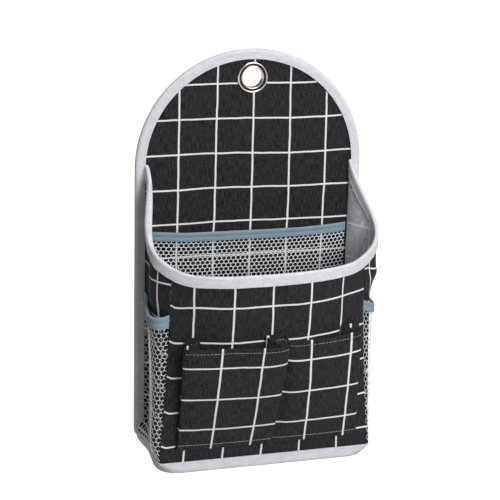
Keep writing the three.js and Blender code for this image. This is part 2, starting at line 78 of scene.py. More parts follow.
def in_frame(place):
    """A point in millimetres, its height counted from the base seam, as a point of the frame."""
    x, y, height = place
    return Vector((x, y, height - EYELET_HEIGHT)) * MM


azimuth, elevation, roll = CAMERA_ANGLES
level_right = Vector((math.cos(azimuth), math.sin(azimuth), 0))
looking = Vector((
    -math.sin(azimuth) * math.cos(elevation),
    math.cos(azimuth) * math.cos(elevation),
    -math.sin(elevation),
))
level_up = level_right.cross(looking)
right = level_right * math.cos(roll) - level_up * math.sin(roll)
up = level_right * math.sin(roll) + level_up * math.cos(roll)
camera_place = in_frame(CAMERA_AIM) - looking * CAMERA_DISTANCE * MM
bpy.ops.object.camera_add(location=camera_place)
camera = bpy.context.object
camera.name = "studio_camera"
camera.rotation_euler = Matrix((right, up, -looking)).transposed().to_euler()
camera.data.sensor_width = SENSOR
camera.data.lens = SENSOR * FOCAL_PIXELS / FRAME_PIXELS
bpy.context.scene.camera = camera
print("camera at", [round(c, 3) for c in camera_place], "lens", round(camera.data.lens, 1))

# %% [markdown]
# The organizer is photographed as it hangs, against plain white. A wide pale floor far below it
# fills the picture, and stays free of its shadow. The floor glows a little of its own, and is
# hidden from diffuse rays, because so bright a floor would throw back too much light and wash out
# the shaded side. A weak sun from nearly overhead and one broad lamp at the right do the rest:
# dark cloth only shows its form in the way light falls off, and strong light from above would
# fill its folds.
# %% Floor and light
FLOOR_DROP = 0.55
FLOOR_SIZE = 40
LAMP_PLACE = Vector((0.5, -1.65, 0.55))
LAMP_AIM = Vector((0, 0, -0.16))
LAMP_POWER = 26
LAMP_SIZE = 0.9
SUN_TURN = (math.radians(8), 0, math.radians(20))
SUN_POWER = 1.0
SUN_SPREAD = math.radians(40)
WORLD_LIGHT = 0.2


def clear_selection():
    bpy.ops.object.select_all(action="DESELECT")


clear_selection()
bpy.ops.mesh.primitive_plane_add(size=FLOOR_SIZE, location=(0, 0, cad_box[0][2] - FLOOR_DROP))
floor = bpy.context.object
floor.name = "floor"
floor.visible_diffuse = False
bpy.ops.object.light_add(type="AREA", location=LAMP_PLACE)
key_lamp = bpy.context.object
key_lamp.name = "key_lamp"
key_lamp.rotation_euler = (LAMP_AIM - LAMP_PLACE).to_track_quat("-Z", "Y").to_euler()
key_lamp.data.energy = LAMP_POWER
key_lamp.data.size = LAMP_SIZE
bpy.ops.object.light_add(type="SUN", rotation=SUN_TURN)
sun = bpy.context.object
sun.name = "sky_lamp"
sun.data.energy = SUN_POWER
sun.data.angle = SUN_SPREAD

world = bpy.data.worlds.new("studio")
world.use_nodes = True
background = world.node_tree.nodes["Background"]
background.inputs["Strength"].default_value = WORLD_LIGHT
background.inputs["Color"].default_value = (1, 1, 1, 1)
bpy.context.scene.world = world
bpy.context.scene.view_settings.view_transform = "Standard"
print("floor", FLOOR_SIZE, "m wide, lamps:", key_lamp.name, sun.name)

# %% [markdown]
# Materials are small node trees. Two helpers keep them readable: one makes a tree whose fixed
# numbers sit on the shader itself, and one adds a node and joins it up. Colours are given as they
# look on a screen and turned into the linear values that shaders use.
# %% Node helpers


def colour(red, green, blue):
    """A colour as seen on a screen, 0 to 255, as linear values."""
    levels = [c / 255 for c in (red, green, blue)]
    return [c / 12.92 if c < 0.04045 else ((c + 0.055) / 1.055) ** 2.4 for c in levels] + [1]


def new_material(name, fixed):
    """A material and its tree, with the settings that are the same all over it."""
    material = bpy.data.materials.new(name)
    material.use_nodes = True
    tree = material.node_tree
    for socket, value in fixed.items():
        tree.nodes["Principled BSDF"].inputs[socket].default_value = value
    return material, tree


def node(tree, kind, inputs, output=0, **settings):
    """Add a node, set or join its inputs, and give back one of its outputs."""
    made = tree.nodes.new("ShaderNode" + kind)
    for setting, value in settings.items():
        setattr(made, setting, value)
    for socket, value in inputs.items():
        if isinstance(value, bpy.types.NodeSocket):
            tree.links.new(value, made.inputs[socket])
        else:
            made.inputs[socket].default_value = value
    return made.outputs[output]


def maths(tree, operation, *values):
    return node(tree, "Math", dict(enumerate(values)), operation=operation)


def remap(tree, value, low, high, start=0.0, end=1.0):
    return node(tree, "MapRange", {"Value": value, "From Min": low, "From Max": high,
                                   "To Min": start, "To Max": end})


def stretched_noise(tree, coordinates, across, along, detail=2.0):
    """Noise stretched like threads: so many streaks across and along a unit of the coordinates."""
    vector = node(tree, "VectorMath", {0: coordinates, 1: (across, along, 1)},
                  operation="MULTIPLY")
    return node(tree, "TexNoise", {"Vector": vector, "Scale": 1.0, "Detail": detail})


def blend_colours(tree, factor, first, second):
    return node(tree, "MixRGB", {"Fac": factor, "Color1": first, "Color2": second})


def finish_tree(tree, base, height, bump, distance):
    """Join a tree's colour and its surface relief to the shader."""
    shader = tree.nodes["Principled BSDF"]
    tree.links.new(base, shader.inputs["Base Color"])
    normal = node(tree, "Bump", {"Height": height, "Strength": bump, "Distance": distance * MM})
    tree.links.new(normal, shader.inputs["Normal"])


# %% [markdown]
# The check cloth is a coarse dark weave with thin pale lines. Its UV map counts in checks, one
# unit from line to line, so one material serves every panel whatever way its cloth was cut. Slubs
# are noise stretched along the threads. The same weave with other colours is the cloth's greyer
# reverse, where the lines spread, and the lining.
# %% Check cloth
LINE_HALF_WIDTH = 0.0235
REVERSE_HALF_WIDTH = 0.034
LINE_EDGE = 0.01
LINE_DRIFT = 0.05
LINE_FRAY = 0.014
THREADS_PER_CHECK = 44


def check_material(name, ground, fleck, line, relief, half_width):
    """A woven check: ground and fleck are the threads' colours, line is the windowpane's."""
    ground, fleck, line = colour(*ground), colour(*fleck), colour(*line)
    material, tree = new_material(name, {"Roughness": 0.9, "Specular IOR Level": 0.2})
    cloth = node(tree, "UVMap", {}, uv_map="UVMap")
    warp = stretched_noise(tree, cloth, 62, 4.2, 3.0)
    weft = stretched_noise(tree, cloth, 5.5, 60, 3.0)
    grain = stretched_noise(tree, cloth, 56, 48)
    patch = stretched_noise(tree, cloth, 1.3, 1.1)
    ragged = stretched_noise(tree, cloth, 38, 38)
    drift = maths(tree, "MULTIPLY_ADD", patch, LINE_DRIFT, -LINE_DRIFT / 2)
    fray = maths(tree, "MULTIPLY_ADD", ragged, LINE_FRAY, -LINE_FRAY / 2)
    inner, outer = half_width - LINE_EDGE / 2, half_width + LINE_EDGE / 2
    bands, weave = [], []
    for axis in node(tree, "SeparateXYZ", {0: cloth}).node.outputs[:2]:
        moved = maths(tree, "ADD", axis, drift)
        distance = maths(tree, "ADD", maths(tree, "PINGPONG", moved, 0.5), fray)
        bands.append(remap(tree, distance, inner, outer, 1.0, 0.0))
        turns = maths(tree, "MULTIPLY", axis, THREADS_PER_CHECK * math.pi)
        weave.append(maths(tree, "SINE", turns))
    crossed = maths(tree, "MULTIPLY_ADD", weft, 0.3, maths(tree, "MULTIPLY", warp, 0.5))
    threads = maths(tree, "MULTIPLY_ADD", grain, 0.2, crossed)
    dark = blend_colours(tree, remap(tree, threads, 0.43, 0.6), ground, fleck)
    shade = [c * 0.9 for c in line[:3]] + [1]
    pale = blend_colours(tree, remap(tree, threads, 0.35, 0.6), shade, line)
    base = blend_colours(tree, maths(tree, "MAXIMUM", *bands), dark, pale)
    plain = maths(tree, "MULTIPLY", *weave)
    finish_tree(tree, base, maths(tree, "MULTIPLY_ADD", plain, 0.35, threads), relief, 0.5)
    return material


check_face, check_reverse, lining = (check_material(*looks) for looks in (
    ("check_cloth", (12, 12, 15), (60, 59, 64), (250, 249, 250), 0.5, LINE_HALF_WIDTH),
    ("check_reverse", (180, 180, 185), (244, 244, 248), (255, 253, 249), 0.5, REVERSE_HALF_WIDTH),
    ("lining_cloth", (112, 112, 114), (142, 142, 146), (128, 128, 131), 0.4, LINE_HALF_WIDTH),
))
print("cloths:", check_face.name, check_reverse.name, lining.name)

# %% [markdown]
# The tapes are ribbed cotton. Their UV maps are in millimetres, along and across, so the ribs
# keep one size on every tape. The mesh is knitted from thick soft yarn, and the boards are
# pressed grey pulp. A noise in the object's own coordinates is enough for these.
# %% Tape, mesh, board and thread
RIB_PITCH = 0.9
YARN_PITCH = 0.8
FLOOR_GLOW = 0.7
SOFT = {"Roughness": 0.85, "Specular IOR Level": 0.25}
GLOWING = {"Roughness": 0.9, "Emission Color": (1, 1, 1, 1), "Emission Strength": FLOOR_GLOW}


def tape_material(name, ground, fleck):
    """A ribbed woven tape."""
    material, tree = new_material(name, SOFT)
    place = node(tree, "UVMap", {}, uv_map="UVMap")
    along, across = node(tree, "SeparateXYZ", {0: place}).node.outputs[:2]
    ribs = maths(tree, "SINE", maths(tree, "MULTIPLY", along, 2 * math.pi / RIB_PITCH))
    yarns = maths(tree, "SINE", maths(tree, "MULTIPLY", across, 2 * math.pi / YARN_PITCH))
    woven = maths(tree, "MULTIPLY", ribs, yarns)
    cloudy = stretched_noise(tree, place, 0.12, 0.3)
    grain = stretched_noise(tree, place, 1.0, 0.9, 3.0)
    mottled = maths(tree, "MULTIPLY_ADD", cloudy, 0.6, grain)
    tone = remap(tree, maths(tree, "MULTIPLY_ADD", woven, 0.16, mottled), 0.45, 1.15)
    base = blend_colours(tree, tone, colour(*fleck), colour(*ground))
    finish_tree(tree, base, maths(tree, "MULTIPLY_ADD", woven, 0.5, grain), 0.35, 0.3)
    return material


def grained_material(name, fixed, ground, fleck, scale, relief, distance):
    """A plain material whose tone and surface vary with the object's own coordinates."""
    material, tree = new_material(name, fixed)
    place = node(tree, "TexCoord", {}, output=3)
    grain = node(tree, "TexNoise", {"Vector": place, "Scale": scale, "Detail": 4.0})
    tone = remap(tree, grain, 0.35, 0.65)
    base = blend_colours(tree, tone, colour(*ground), colour(*fleck))
    finish_tree(tree, base, grain, relief, distance)
    return material


white_tape = tape_material("white_tape", (247, 246, 251), (200, 199, 207))
blue_tape = tape_material("blue_tape", (148, 168, 181), (118, 138, 152))
yarn, thread, dark_thread, board, floor_finish = (grained_material(*looks) for looks in (
    ("mesh_yarn", SOFT, (240, 239, 243), (253, 253, 254), 900, 0.4, 0.3),
    ("sewing_thread", SOFT, (205, 203, 206), (240, 238, 238), 2500, 0.3, 0.1),
    ("dark_thread", SOFT, (160, 160, 160), (200, 200, 198), 2500, 0.3, 0.1),
    ("grey_board", {"Roughness": 0.95}, (150, 147, 140), (172, 168, 160), 400, 0.3, 0.3),
    ("floor_paint", GLOWING, (250, 250, 250), (253, 253, 253), 3, 0.02, 0.2),
))
floor.data.materials.append(floor_finish)
print("finishes:", [m.name for m in (white_tape, blue_tape, yarn, thread, dark_thread, board)])

# %% [markdown]
# The eyelet is polished nickel, a little tarnished. Its flange's groove has painted shade, laid
# by distance from the hole's axis, which stays right however the ring is divided into faces.
# %% Nickel
# Painted shade in the flange's groove: its radius, where the shade is full and where it fades.
GROOVE_RADIUS = 10.75
GROOVE_SHADE_FULL = 0.5
GROOVE_SHADE_FADE = 0.85

nickel, tree = new_material("nickel", {"Metallic": 1.0, "IOR": 1.9})
place = node(tree, "TexCoord", {}, output=3)
brushed = node(tree, "TexNoise", {"Vector": place, "Scale": 260.0, "Detail": 5.0})
tarnish = node(tree, "TexNoise", {"Vector": place, "Scale": 90.0, "Detail": 2.0})
tarnished = remap(tree, tarnish, 0.4, 0.65)
polished = blend_colours(tree, tarnished, colour(196, 190, 184), colour(158, 148, 140))
flat_place = node(tree, "VectorMath", {0: place, 1: (1, 0, 1)}, operation="MULTIPLY")
from_axis = node(tree, "VectorMath", {0: flat_place}, output=1, operation="LENGTH")
# Painted shade: the groove is coloured near black, as the shade that falls in it.
off_groove = maths(tree, "ABSOLUTE", maths(tree, "SUBTRACT", from_axis, GROOVE_RADIUS * MM))
groove_painted_shade = remap(tree, off_groove, GROOVE_SHADE_FULL * MM, GROOVE_SHADE_FADE * MM, 1.0, 0.0)
metal = blend_colours(tree, groove_painted_shade, polished, colour(38, 32, 28))
rough = remap(tree, brushed, 0.35, 0.65, 0.12, 0.24)
tree.links.new(rough, tree.nodes["Principled BSDF"].inputs["Roughness"])
finish_tree(tree, metal, brushed, 0.04, 0.1)
print("metal:", nickel.name)

# %% [markdown]
# A few small functions serve every shape that follows: soft steps and waves, and lines whose
# corners are cut and whose points are then spread evenly.
# %% Number and line helpers


def clamp(t, low=0.0, high=1.0):
    return min(max(t, low), high)


def mix(a, b, t):
    return a + (b - a) * t


def smooth(t):
    """An even step from 0 to 1."""
    t = clamp(t)
    return t * t * (3 - 2 * t)


def ripple(a, b, size, seed):
    """Soft waves of the given size over a cloth, from about -0.5 to 0.5."""
    return noise.noise(Vector((a / size, b / size, seed)))


def rounded(points, passes=3):
    """Cut a line's corners, a few times over, which leaves it smooth."""
    for _ in range(passes):
        cut = [points[0]]
        for a, b in zip(points, points[1:]):
            cut.append(tuple(mix(p, q, 0.25) for p, q in zip(a, b)))
            cut.append(tuple(mix(p, q, 0.75) for p, q in zip(a, b)))
        points = cut + [points[-1]]
    return points


def even_steps(points, count):
    """A line's points in even steps, and its length. A point's first two numbers are its place."""
    lengths = [0.0]
    for a, b in zip(points, points[1:]):
        lengths.append(lengths[-1] + math.dist(a[:2], b[:2]))
    steps = []
    i = 0
    for k in range(count + 1):
        wanted = lengths[-1] * k / count
        while i < len(points) - 2 and lengths[i + 1] < wanted:
            i += 1
        share = (wanted - lengths[i]) / max(lengths[i + 1] - lengths[i], 1e-9)
        steps.append(tuple(mix(p, q, share) for p, q in zip(points[i], points[i + 1])))
    return steps, lengths[-1]


def on_line(steps, share):
    """A place part of the way along a line of even steps."""
    spot = clamp(share) * (len(steps) - 1)
    i = min(int(spot), len(steps) - 2)
    return tuple(mix(p, q, spot - i) for p, q in zip(steps[i], steps[i + 1]))


print("a soft step at a quarter, half and three quarters:", [smooth(q / 4) for q in (1, 2, 3)])

# %% [markdown]
# Every cloth is a sheet. A flat grid is the cloth as cut, and each of its points is then laid on
# the surface it has on the finished bag. The grid's two directions become the cloth coordinates,
# so the check follows the threads round every bend. Solidify gives it its thickness, with the
# outer face kept. A second material, where there is one, goes to the reverse.
# %% Sheet helpers


def activate(piece):
    """Select a piece alone and make it the active one, which operators work on."""
    clear_selection()
    piece.select_set(True)
    bpy.context.view_layer.objects.active = piece


def named(name):
    """Name the mesh that was just added."""
    piece = bpy.context.object
    piece.name = name
    piece.data.name = name
    return piece


def modify(piece, kind, **settings):
    """Give a piece a modifier and apply it at once."""
    modifier = piece.modifiers.new(kind.lower(), kind)
    for setting, value in settings.items():
        setattr(modifier, setting, value)
    activate(piece)
    bpy.ops.object.modifier_apply(modifier=modifier.name)


def edit(piece):
    """Open a piece in edit mode with all of it selected."""
    activate(piece)
    bpy.ops.object.mode_set(mode="EDIT")
    bpy.ops.mesh.select_mode(type="VERT")
    bpy.ops.mesh.select_all(action="SELECT")


def leave_edit():
    bpy.ops.object.mode_set(mode="OBJECT")


def lay_grid(name, columns, rows, at):
    """Add a flat grid and lay it on a surface: at(u, v) gives a place and a cloth coordinate."""
    clear_selection()
    bpy.ops.mesh.primitive_grid_add(x_subdivisions=columns, y_subdivisions=rows, size=1)
    piece = named(name)
    coordinates = []
    for vertex in piece.data.vertices:
        place, cloth = at(vertex.co.x + 0.5, vertex.co.y + 0.5)
        vertex.co = in_frame(place)
        coordinates.append(cloth)
    layer = piece.data.uv_layers.active.data
    for loop in piece.data.loops:
        layer[loop.index].uv = coordinates[loop.vertex_index]
    return piece


def thicken(piece, thickness, finishes):
    """Give a sheet its finishes, and its thickness behind its outer face."""
    for material in finishes:
        piece.data.materials.append(material)
    modify(piece, "SOLIDIFY", thickness=thickness * MM, offset=-1, use_even_offset=False,
           material_offset=len(finishes) - 1)


def finish_piece(piece, slot, stands_for=(), sharp=50):
    """Smooth a finished mesh, hide the nodes it stands for, and attach it to the root body. The
    slot is not used.
    """
    activate(piece)
    bpy.ops.object.shade_smooth_by_angle(angle=math.radians(sharp))
    if stands_for:
        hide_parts(*stands_for)
    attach(piece, "root")


def make_sheet(piece, thickness, finishes, slot, node_name, cut=None, **sheet):
    """Turn a laid grid into a finished sheet. The settings that say what kind of sheet it is are
    not used.
    """
    thicken(piece, thickness, finishes)
    if cut:
        cut(piece)
    finish_piece(piece, slot, [node_name])
    print(piece.name, len(piece.data.polygons), "faces")


print("helpers:", lay_grid.__name__, thicken.__name__, finish_piece.__name__, make_sheet.__name__)

# %% [markdown]
# The bag's walls are one surface that three panels share. Its plan is known at every height:
# straight where it is sewn to the base, and relaxed towards the mouth, where the sides bulge out
# and the front swells. These functions repeat the part's own, so that each piece stays where its
# solid is.
# %% The walls' surface
PANEL_WIDTH = 200
PANEL_HEIGHT = 336
ARCH_RADIUS = PANEL_WIDTH / 2
ARCH_CENTRE = PANEL_HEIGHT - ARCH_RADIUS
CORNER_RADIUS = 12
TAPE_WIDTH = 9
WALL_X = ARCH_RADIUS - TAPE_WIDTH
SEAM_FRONT = 5.05
SEAM_TURN = 7.8
CLEAR_FRONT = 6.3
BAG_DEPTH = 74
START = (CLEAR_FRONT - SEAM_FRONT) / BAG_DEPTH
BASE_FRONT_WIDTH = 187
FRONT_HEIGHT = 165
BACK_HEIGHT = 240
SIDE_POCKET_HEIGHT = 130
HEM_BOTTOM = -10.8
FRONT_BULGE = 24
FRONT_SHAPE = 2.8
LOW_BULGE = 0.25
DIP_RUN = 20
LEFT = {"x": 84, "depth": 68, "bulge": 10.5, "crest": 0.71, "slump": 1.6}
RIGHT = {"x": 87.5, "depth": 58, "bulge": 16.5, "crest": 0.58, "slump": 1.0}
MOUTH_WIDTH = LEFT["x"] + RIGHT["x"]


def relaxed(height):
    return math.sin(math.pi / 2 * clamp(height / FRONT_HEIGHT))


def flared(height, start=SIDE_POCKET_HEIGHT, rise=18):
    """How far a side's bulge has grown at a height: little behind its net, and all of it above."""
    low = LOW_BULGE * math.sin(math.pi / 2 * clamp(height / SIDE_POCKET_HEIGHT))
    return mix(low, 1, smooth((height - start) / rise))


def swelling(along, crest):
    return math.sin(math.pi * clamp(along) ** (math.log(0.5) / math.log(crest)))


def side_share(from_back):
    """The same place on a side wall, counted from where it leaves the back seam's folded edge."""
    return (from_back - START) / (1 - START)


def front_corner(side, height):
    mouth = LEFT if side < 0 else RIGHT
    t = relaxed(height)
    x = side * mix(BASE_FRONT_WIDTH / 2, mouth["x"], t)
    return x, -BACK_FACE - mix(BAG_DEPTH, mouth["depth"], t)


def wall_plan(u, height):
    """Plan of the outer face: u is 0 to 1 on the left, 1 to 2 in front and 2 to 3 on the right."""
    if 1 <= u <= 2:
        left, right_corner = front_corner(-1, height), front_corner(1, height)
        swell = FRONT_BULGE * relaxed(height) * (1 - abs(2 * u - 3) ** FRONT_SHAPE)
        x, y = (mix(a, b, u - 1) for a, b in zip(left, right_corner))
        return x, y - swell
    side = -1 if u < 1 else 1
    from_back = u if u < 1 else 3 - u
    if from_back < 0:
        return side * (WALL_X - from_back * SEAM_TURN), -SEAM_FRONT
    if from_back < START:
        return side * WALL_X, mix(-SEAM_FRONT, -CLEAR_FRONT, from_back / START)
    along = side_share(from_back)
    mouth = LEFT if side < 0 else RIGHT
    corner = front_corner(side, height)
    swell = mouth["bulge"] * flared(height) * swelling(along, mouth["crest"])
    return mix(side * WALL_X, corner[0], along) + side * swell, mix(-CLEAR_FRONT, corner[1], along)


def wall_point(u, height, inset=0.0):
    """A point of the walls, set in square to them; a negative inset sets it out."""
    step = 1e-4
    here, before, after = (wall_plan(u + d, height) for d in (0, -step, step))
    normals = []
    for a, b in ((before, here), (here, after)):
        length = math.hypot(b[0] - a[0], b[1] - a[1])
        normals.append((-(b[1] - a[1]) / length, (b[0] - a[0]) / length))
    (ax, ay), (bx, by) = normals
    mitre = inset / (1 + ax * bx + ay * by)
    return here[0] + (ax + bx) * mitre, here[1] + (ay + by) * mitre, height


def mouth_height(u):
    """Height of the mouth's edge: high at the back, falling along the sides and level in front."""
    mouth = LEFT if u < 1.5 else RIGHT
    along = max(u if u < 1.5 else 3 - u, 0)
    distance = along * BAG_DEPTH if along < 1 else BAG_DEPTH + (along - 1) * MOUTH_WIDTH
    t = clamp(distance / (BAG_DEPTH + DIP_RUN))
    return mix(BACK_HEIGHT, FRONT_HEIGHT, (1 - (1 - t) ** 2) ** mouth["slump"])


print("mouth height at the seams and in front:", [round(mouth_height(u)) for u in (0, 1.5, 3)])

# %% [markdown]
# The check has to keep its size where a wall bulges, so lengths are measured along the wall
# itself. They are summed once for each level and kept in a table, because every point of three
# grids asks.
# %% Lengths along the walls
TABLE_STEPS = 60
TABLE_LEVEL = 6


@functools.lru_cache(None)
def run_table(face, level):
    """Lengths along one face at one level, from its first edge, at even steps of u."""
    points = [wall_plan(face + i / TABLE_STEPS, level * TABLE_LEVEL)
              for i in range(TABLE_STEPS + 1)]
    lengths = [0.0]
    for a, b in zip(points, points[1:]):
        lengths.append(lengths[-1] + math.hypot(b[0] - a[0], b[1] - a[1]))
    return lengths


def run(face, along, height):
    """Length of cloth along a face, from its first edge to a place on it."""
    spot = clamp(along) * TABLE_STEPS
    i = min(int(spot), TABLE_STEPS - 1)
    level = height / TABLE_LEVEL
    k = math.floor(level)
    low, high = (mix(*run_table(face, n)[i:i + 2], spot - i) for n in (k, k + 1))
    return mix(low, high, level - k)


print("walls at the mouth run", [round(run(f, 1, 156), 1) for f in (0, 1, 2)], "mm")

# %% [markdown]
# The back panel is two cloths over a thin board, under one folded tape. The face cloth's rows
# follow the arch, and its last row lies hidden under the tape. A hole for the eyelet is cut by a
# boolean, as a punch would. The cloth on the wall side is the same sheet turned round.
# %% Back panel cloths
CLOTH = 0.8
LINING_CLOTH = 0.72
BACK_UNDER_TAPE = 1.2
ARCH_SHARE = 0.42
ARCH_LAST_ANGLE = math.radians(81)
EYELET_CUT = 9.75
PANEL_CHECK = (32.5, 30)
PANEL_CROSSING = (1.9, 306.9)
LINING_CROSSING = (-9.75, 0)
FACE_OFF = 0.25
LINING_FRONT = 0.9
PANEL_SHEET = {"flat": (0.198, 0.344), "area": 0.0625, "held": "stretched",
               "rests_on": ["back_board"]}


def panel_row(v):
    """Height and half width of a row of the back panel's cloth."""
    radius = ARCH_RADIUS - BACK_UNDER_TAPE
    bottom = HEM_BOTTOM + BACK_UNDER_TAPE
    if v > 1 - ARCH_SHARE:
        angle = ARCH_LAST_ANGLE * (v - 1 + ARCH_SHARE) / ARCH_SHARE
        return ARCH_CENTRE + radius * math.sin(angle), radius * math.cos(angle)
    height = mix(bottom, ARCH_CENTRE, v / (1 - ARCH_SHARE))
    corner = CORNER_RADIUS - BACK_UNDER_TAPE
    drop = max(bottom + corner - height, 0)
    return height, radius - corner + math.sqrt(corner ** 2 - drop ** 2)


def off_edge(half, x):
    """0 near the panel's edge, where the tape holds the cloth flat, and 1 further in."""
    return smooth((half - abs(x) - 8) / 12)


def check_at(across, up, crossing, check):
    """Cloth coordinates, counted in checks from a place where two lines cross."""
    return (across - crossing[0]) / check[0], (up - crossing[1]) / check[1]


def back_face_at(u, v):
    height, half = panel_row(v)
    x = (2 * u - 1) * half
    wave = 0.5 * ripple(x, height, 60, 2) + 0.2 * ripple(x, height, 17, 4)
    cloth_x = x + 1.6 * ripple(x, height, 90, 8)
    cloth_z = height + 1.4 * ripple(x, height, 80, 9)
    place = x, -BACK_FACE - FACE_OFF - wave * off_edge(half, x), height
    return place, check_at(cloth_x, cloth_z, PANEL_CROSSING, PANEL_CHECK)


def back_lining_at(u, v):
    height, half = panel_row(v)
    x = (1 - 2 * u) * half
    wave = 0.3 * ripple(x, height, 70, 12)
    place = x, -LINING_FRONT + wave * off_edge(half, x), height
    return place, check_at(x, height, LINING_CROSSING, PANEL_CHECK)


def punch(piece):
    """Cut the eyelet's hole through a piece."""
    clear_selection()
    bpy.ops.mesh.primitive_cylinder_add(vertices=64, radius=EYELET_CUT * MM, depth=0.03,
                                        rotation=(math.radians(90), 0, 0))
    cutter = bpy.context.object
    modify(piece, "BOOLEAN", operation="DIFFERENCE", solver="EXACT", object=cutter)
    bpy.data.objects.remove(cutter)


back_face = lay_grid("back_face_cloth", 96, 132, back_face_at)
make_sheet(back_face, CLOTH, [check_face], "check_cloth", "back_face_fabric", cut=punch,
           **PANEL_SHEET)
back_lining = lay_grid("back_lining_cloth", 60, 90, back_lining_at)
make_sheet(back_lining, LINING_CLOTH, [lining], "lining_cloth", "back_lining", cut=punch,
           **PANEL_SHEET)
for name in ("back_board", "base_board"):
    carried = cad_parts[name]
    carried.data.materials.clear()
    carried.data.materials.append(board)
    print(name, "is kept as packed, in", board.name)

# %% [markdown]
# Each tape is folded in half over an edge. In section it is a leg, a round fold and a second leg,
# so a grid with one direction along the edge and the other across the tape makes it. The panel's
# tape runs all the way round and its two ends are welded.
# %% Folded tapes
PANEL_TAPE = 0.8
PANEL_FOLD = 2.95
PANEL_LEG = TAPE_WIDTH - 0.4 - PANEL_FOLD
PANEL_STITCH = 3.2
PANEL_SWAY = 0.3
PUCKER = 0.12
WELD = 0.02
CORNER_X = ARCH_RADIUS - CORNER_RADIUS
CORNER_HEIGHT = HEM_BOTTOM + CORNER_RADIUS
EDGE_PARTS = [
    ("line", (0, HEM_BOTTOM), (-CORNER_X, HEM_BOTTOM)),
    ("turn", (-CORNER_X, CORNER_HEIGHT), CORNER_RADIUS, 270, 180),
    ("line", (-ARCH_RADIUS, CORNER_HEIGHT), (-ARCH_RADIUS, ARCH_CENTRE)),
    ("turn", (0, ARCH_CENTRE), ARCH_RADIUS, 180, 0),
    ("line", (ARCH_RADIUS, ARCH_CENTRE), (ARCH_RADIUS, CORNER_HEIGHT)),
    ("turn", (CORNER_X, CORNER_HEIGHT), CORNER_RADIUS, 0, -90),
    ("line", (CORNER_X, HEM_BOTTOM), (0, HEM_BOTTOM)),
]


def fold_section(t, leg, radius):
    """A folded tape's section: how far down from the fold's top, how far across from -1 to 1, and
    how far along the section."""
    arc = math.pi * radius
    distance = t * (2 * leg + arc)
    if distance < leg:
        return radius + leg - distance, -1.0, distance
    if distance > leg + arc:
        return radius + distance - leg - arc, 1.0, distance
    angle = (distance - leg) / radius
    return radius - radius * math.sin(angle), -math.cos(angle), distance


def part_length(part):
    if part[0] == "line":
        return math.dist(part[1], part[2])
    return part[2] * math.radians(abs(part[3] - part[4]))


EDGE_LENGTH = sum(part_length(part) for part in EDGE_PARTS)


def panel_edge(distance, inset):
    """A place on the back panel's outline, counted clockwise from the middle of its lower edge."""
    distance = distance % EDGE_LENGTH
    for part in EDGE_PARTS:
        length = part_length(part)
        if distance <= length:
            break
        distance -= length
    share = min(distance / length, 1)
    if part[0] == "turn":
        (x, z), radius, first, last = part[1:]
        angle = math.radians(mix(first, last, share))
        return x + (radius - inset) * math.cos(angle), z + (radius - inset) * math.sin(angle)
    (ax, az), (bx, bz) = part[1:]
    out_x, out_z = -(bz - az) / length, (bx - ax) / length
    return mix(ax, bx, share) - out_x * inset, mix(az, bz, share) - out_z * inset


def puckers(distance, spacing):
    """Small waves along a tape, one for each stitch."""
    return PUCKER * math.sin(distance * 2 * math.pi / spacing)


def panel_tape_at(u, v):
    distance = u * EDGE_LENGTH
    down, across, along_section = fold_section(v, PANEL_LEG, PANEL_FOLD)
    pucker = puckers(distance, PANEL_STITCH) * smooth((down - 5) / 3)
    sway = PANEL_SWAY * ripple(distance, 0, 30, 21) * smooth((down - 3) / 5)
    x, z = panel_edge(distance, down + sway)
    return (x, -PANEL_FOLD + across * (PANEL_FOLD + pucker), z), (distance, along_section)


panel_tape = lay_grid("panel_tape", 560, 20, panel_tape_at)
edit(panel_tape)
bpy.ops.mesh.remove_doubles(threshold=WELD * MM)
leave_edit()
make_sheet(panel_tape, PANEL_TAPE, [white_tape], "white_tape", "back_binding",
           flat=(0.0206, 0.99), held="folded", rests_on=["back_board"])

# %% [markdown]
# Cloth never keeps to an even surface. It has slow waves, and small puckers where a tape's
# stitches draw it in. The left wall is creased inward in front of its back seam, the right one is
# full behind its net, and both bulge sooner than the even surface does. Each of these is a
# function of the place on the wall that fades out at the seams, where the cloth is held.
# %% The walls' fullness
SEAM_EASE = 14
FOOT_EASE = 26
MOUTH_EASE = 12
LONG_WAVE = 48
SHORT_WAVE = 17
SEAM_GATHER = 0.14
GATHER_PITCH = 7.5
FOOT_FLARE = 5.6
FLARE_RUN = 26
FLARE_RISE = 12
FOOT_LIFT = 3.4
LIFT_RUN = 22
# Pairs of a height at which something starts to change and how many millimetres it takes.
SOONER = {-1: (92, 52), 1: (100, 56)}
LEFT_CREASE = 5
CREASE_FADE = (72, 45)
RIGHT_FULLNESS = 5.6
FULLNESS_FADE = (122, 34)


def slack(distance, length, height, top, seed, amount):
    """How far a wall's cloth stands off its even surface."""
    held = smooth(distance / SEAM_EASE) * smooth((length - distance) / SEAM_EASE)
    held *= smooth((height + 4) / FOOT_EASE)
    free = smooth((top - height) / MOUTH_EASE)
    waves = ripple(distance, height * 0.7, LONG_WAVE, seed)
    waves += 0.35 * ripple(distance, height, SHORT_WAVE, seed + 3)
    turns = distance * 2 * math.pi / GATHER_PITCH
    gather = SEAM_GATHER * math.sin(turns + 3 * ripple(distance, 0, 20, seed + 5))
    near_seam = math.exp(-((height / 9) ** 2)) + math.exp(-(((top - 9 - height) / 7) ** 2))
    return amount * held * free * waves + gather * near_seam * smooth(distance / 8)


def fade(value, start, length):
    """From 1 down to 0."""
    return 1 - smooth((value - start) / length)


def foot_flare(from_back, height):
    """How far the walls' foot spreads sideways near the back corners, where the base tape ends."""
    return FOOT_FLARE * fade(from_back, 2, FLARE_RUN) * fade(height, 0, FLARE_RISE)


def foot_lift(from_back, height):
    """How far the hem below the base seam is drawn up near the back corners."""
    return FOOT_LIFT * fade(from_back, 2, LIFT_RUN) * clamp(height / HEM_BOTTOM)


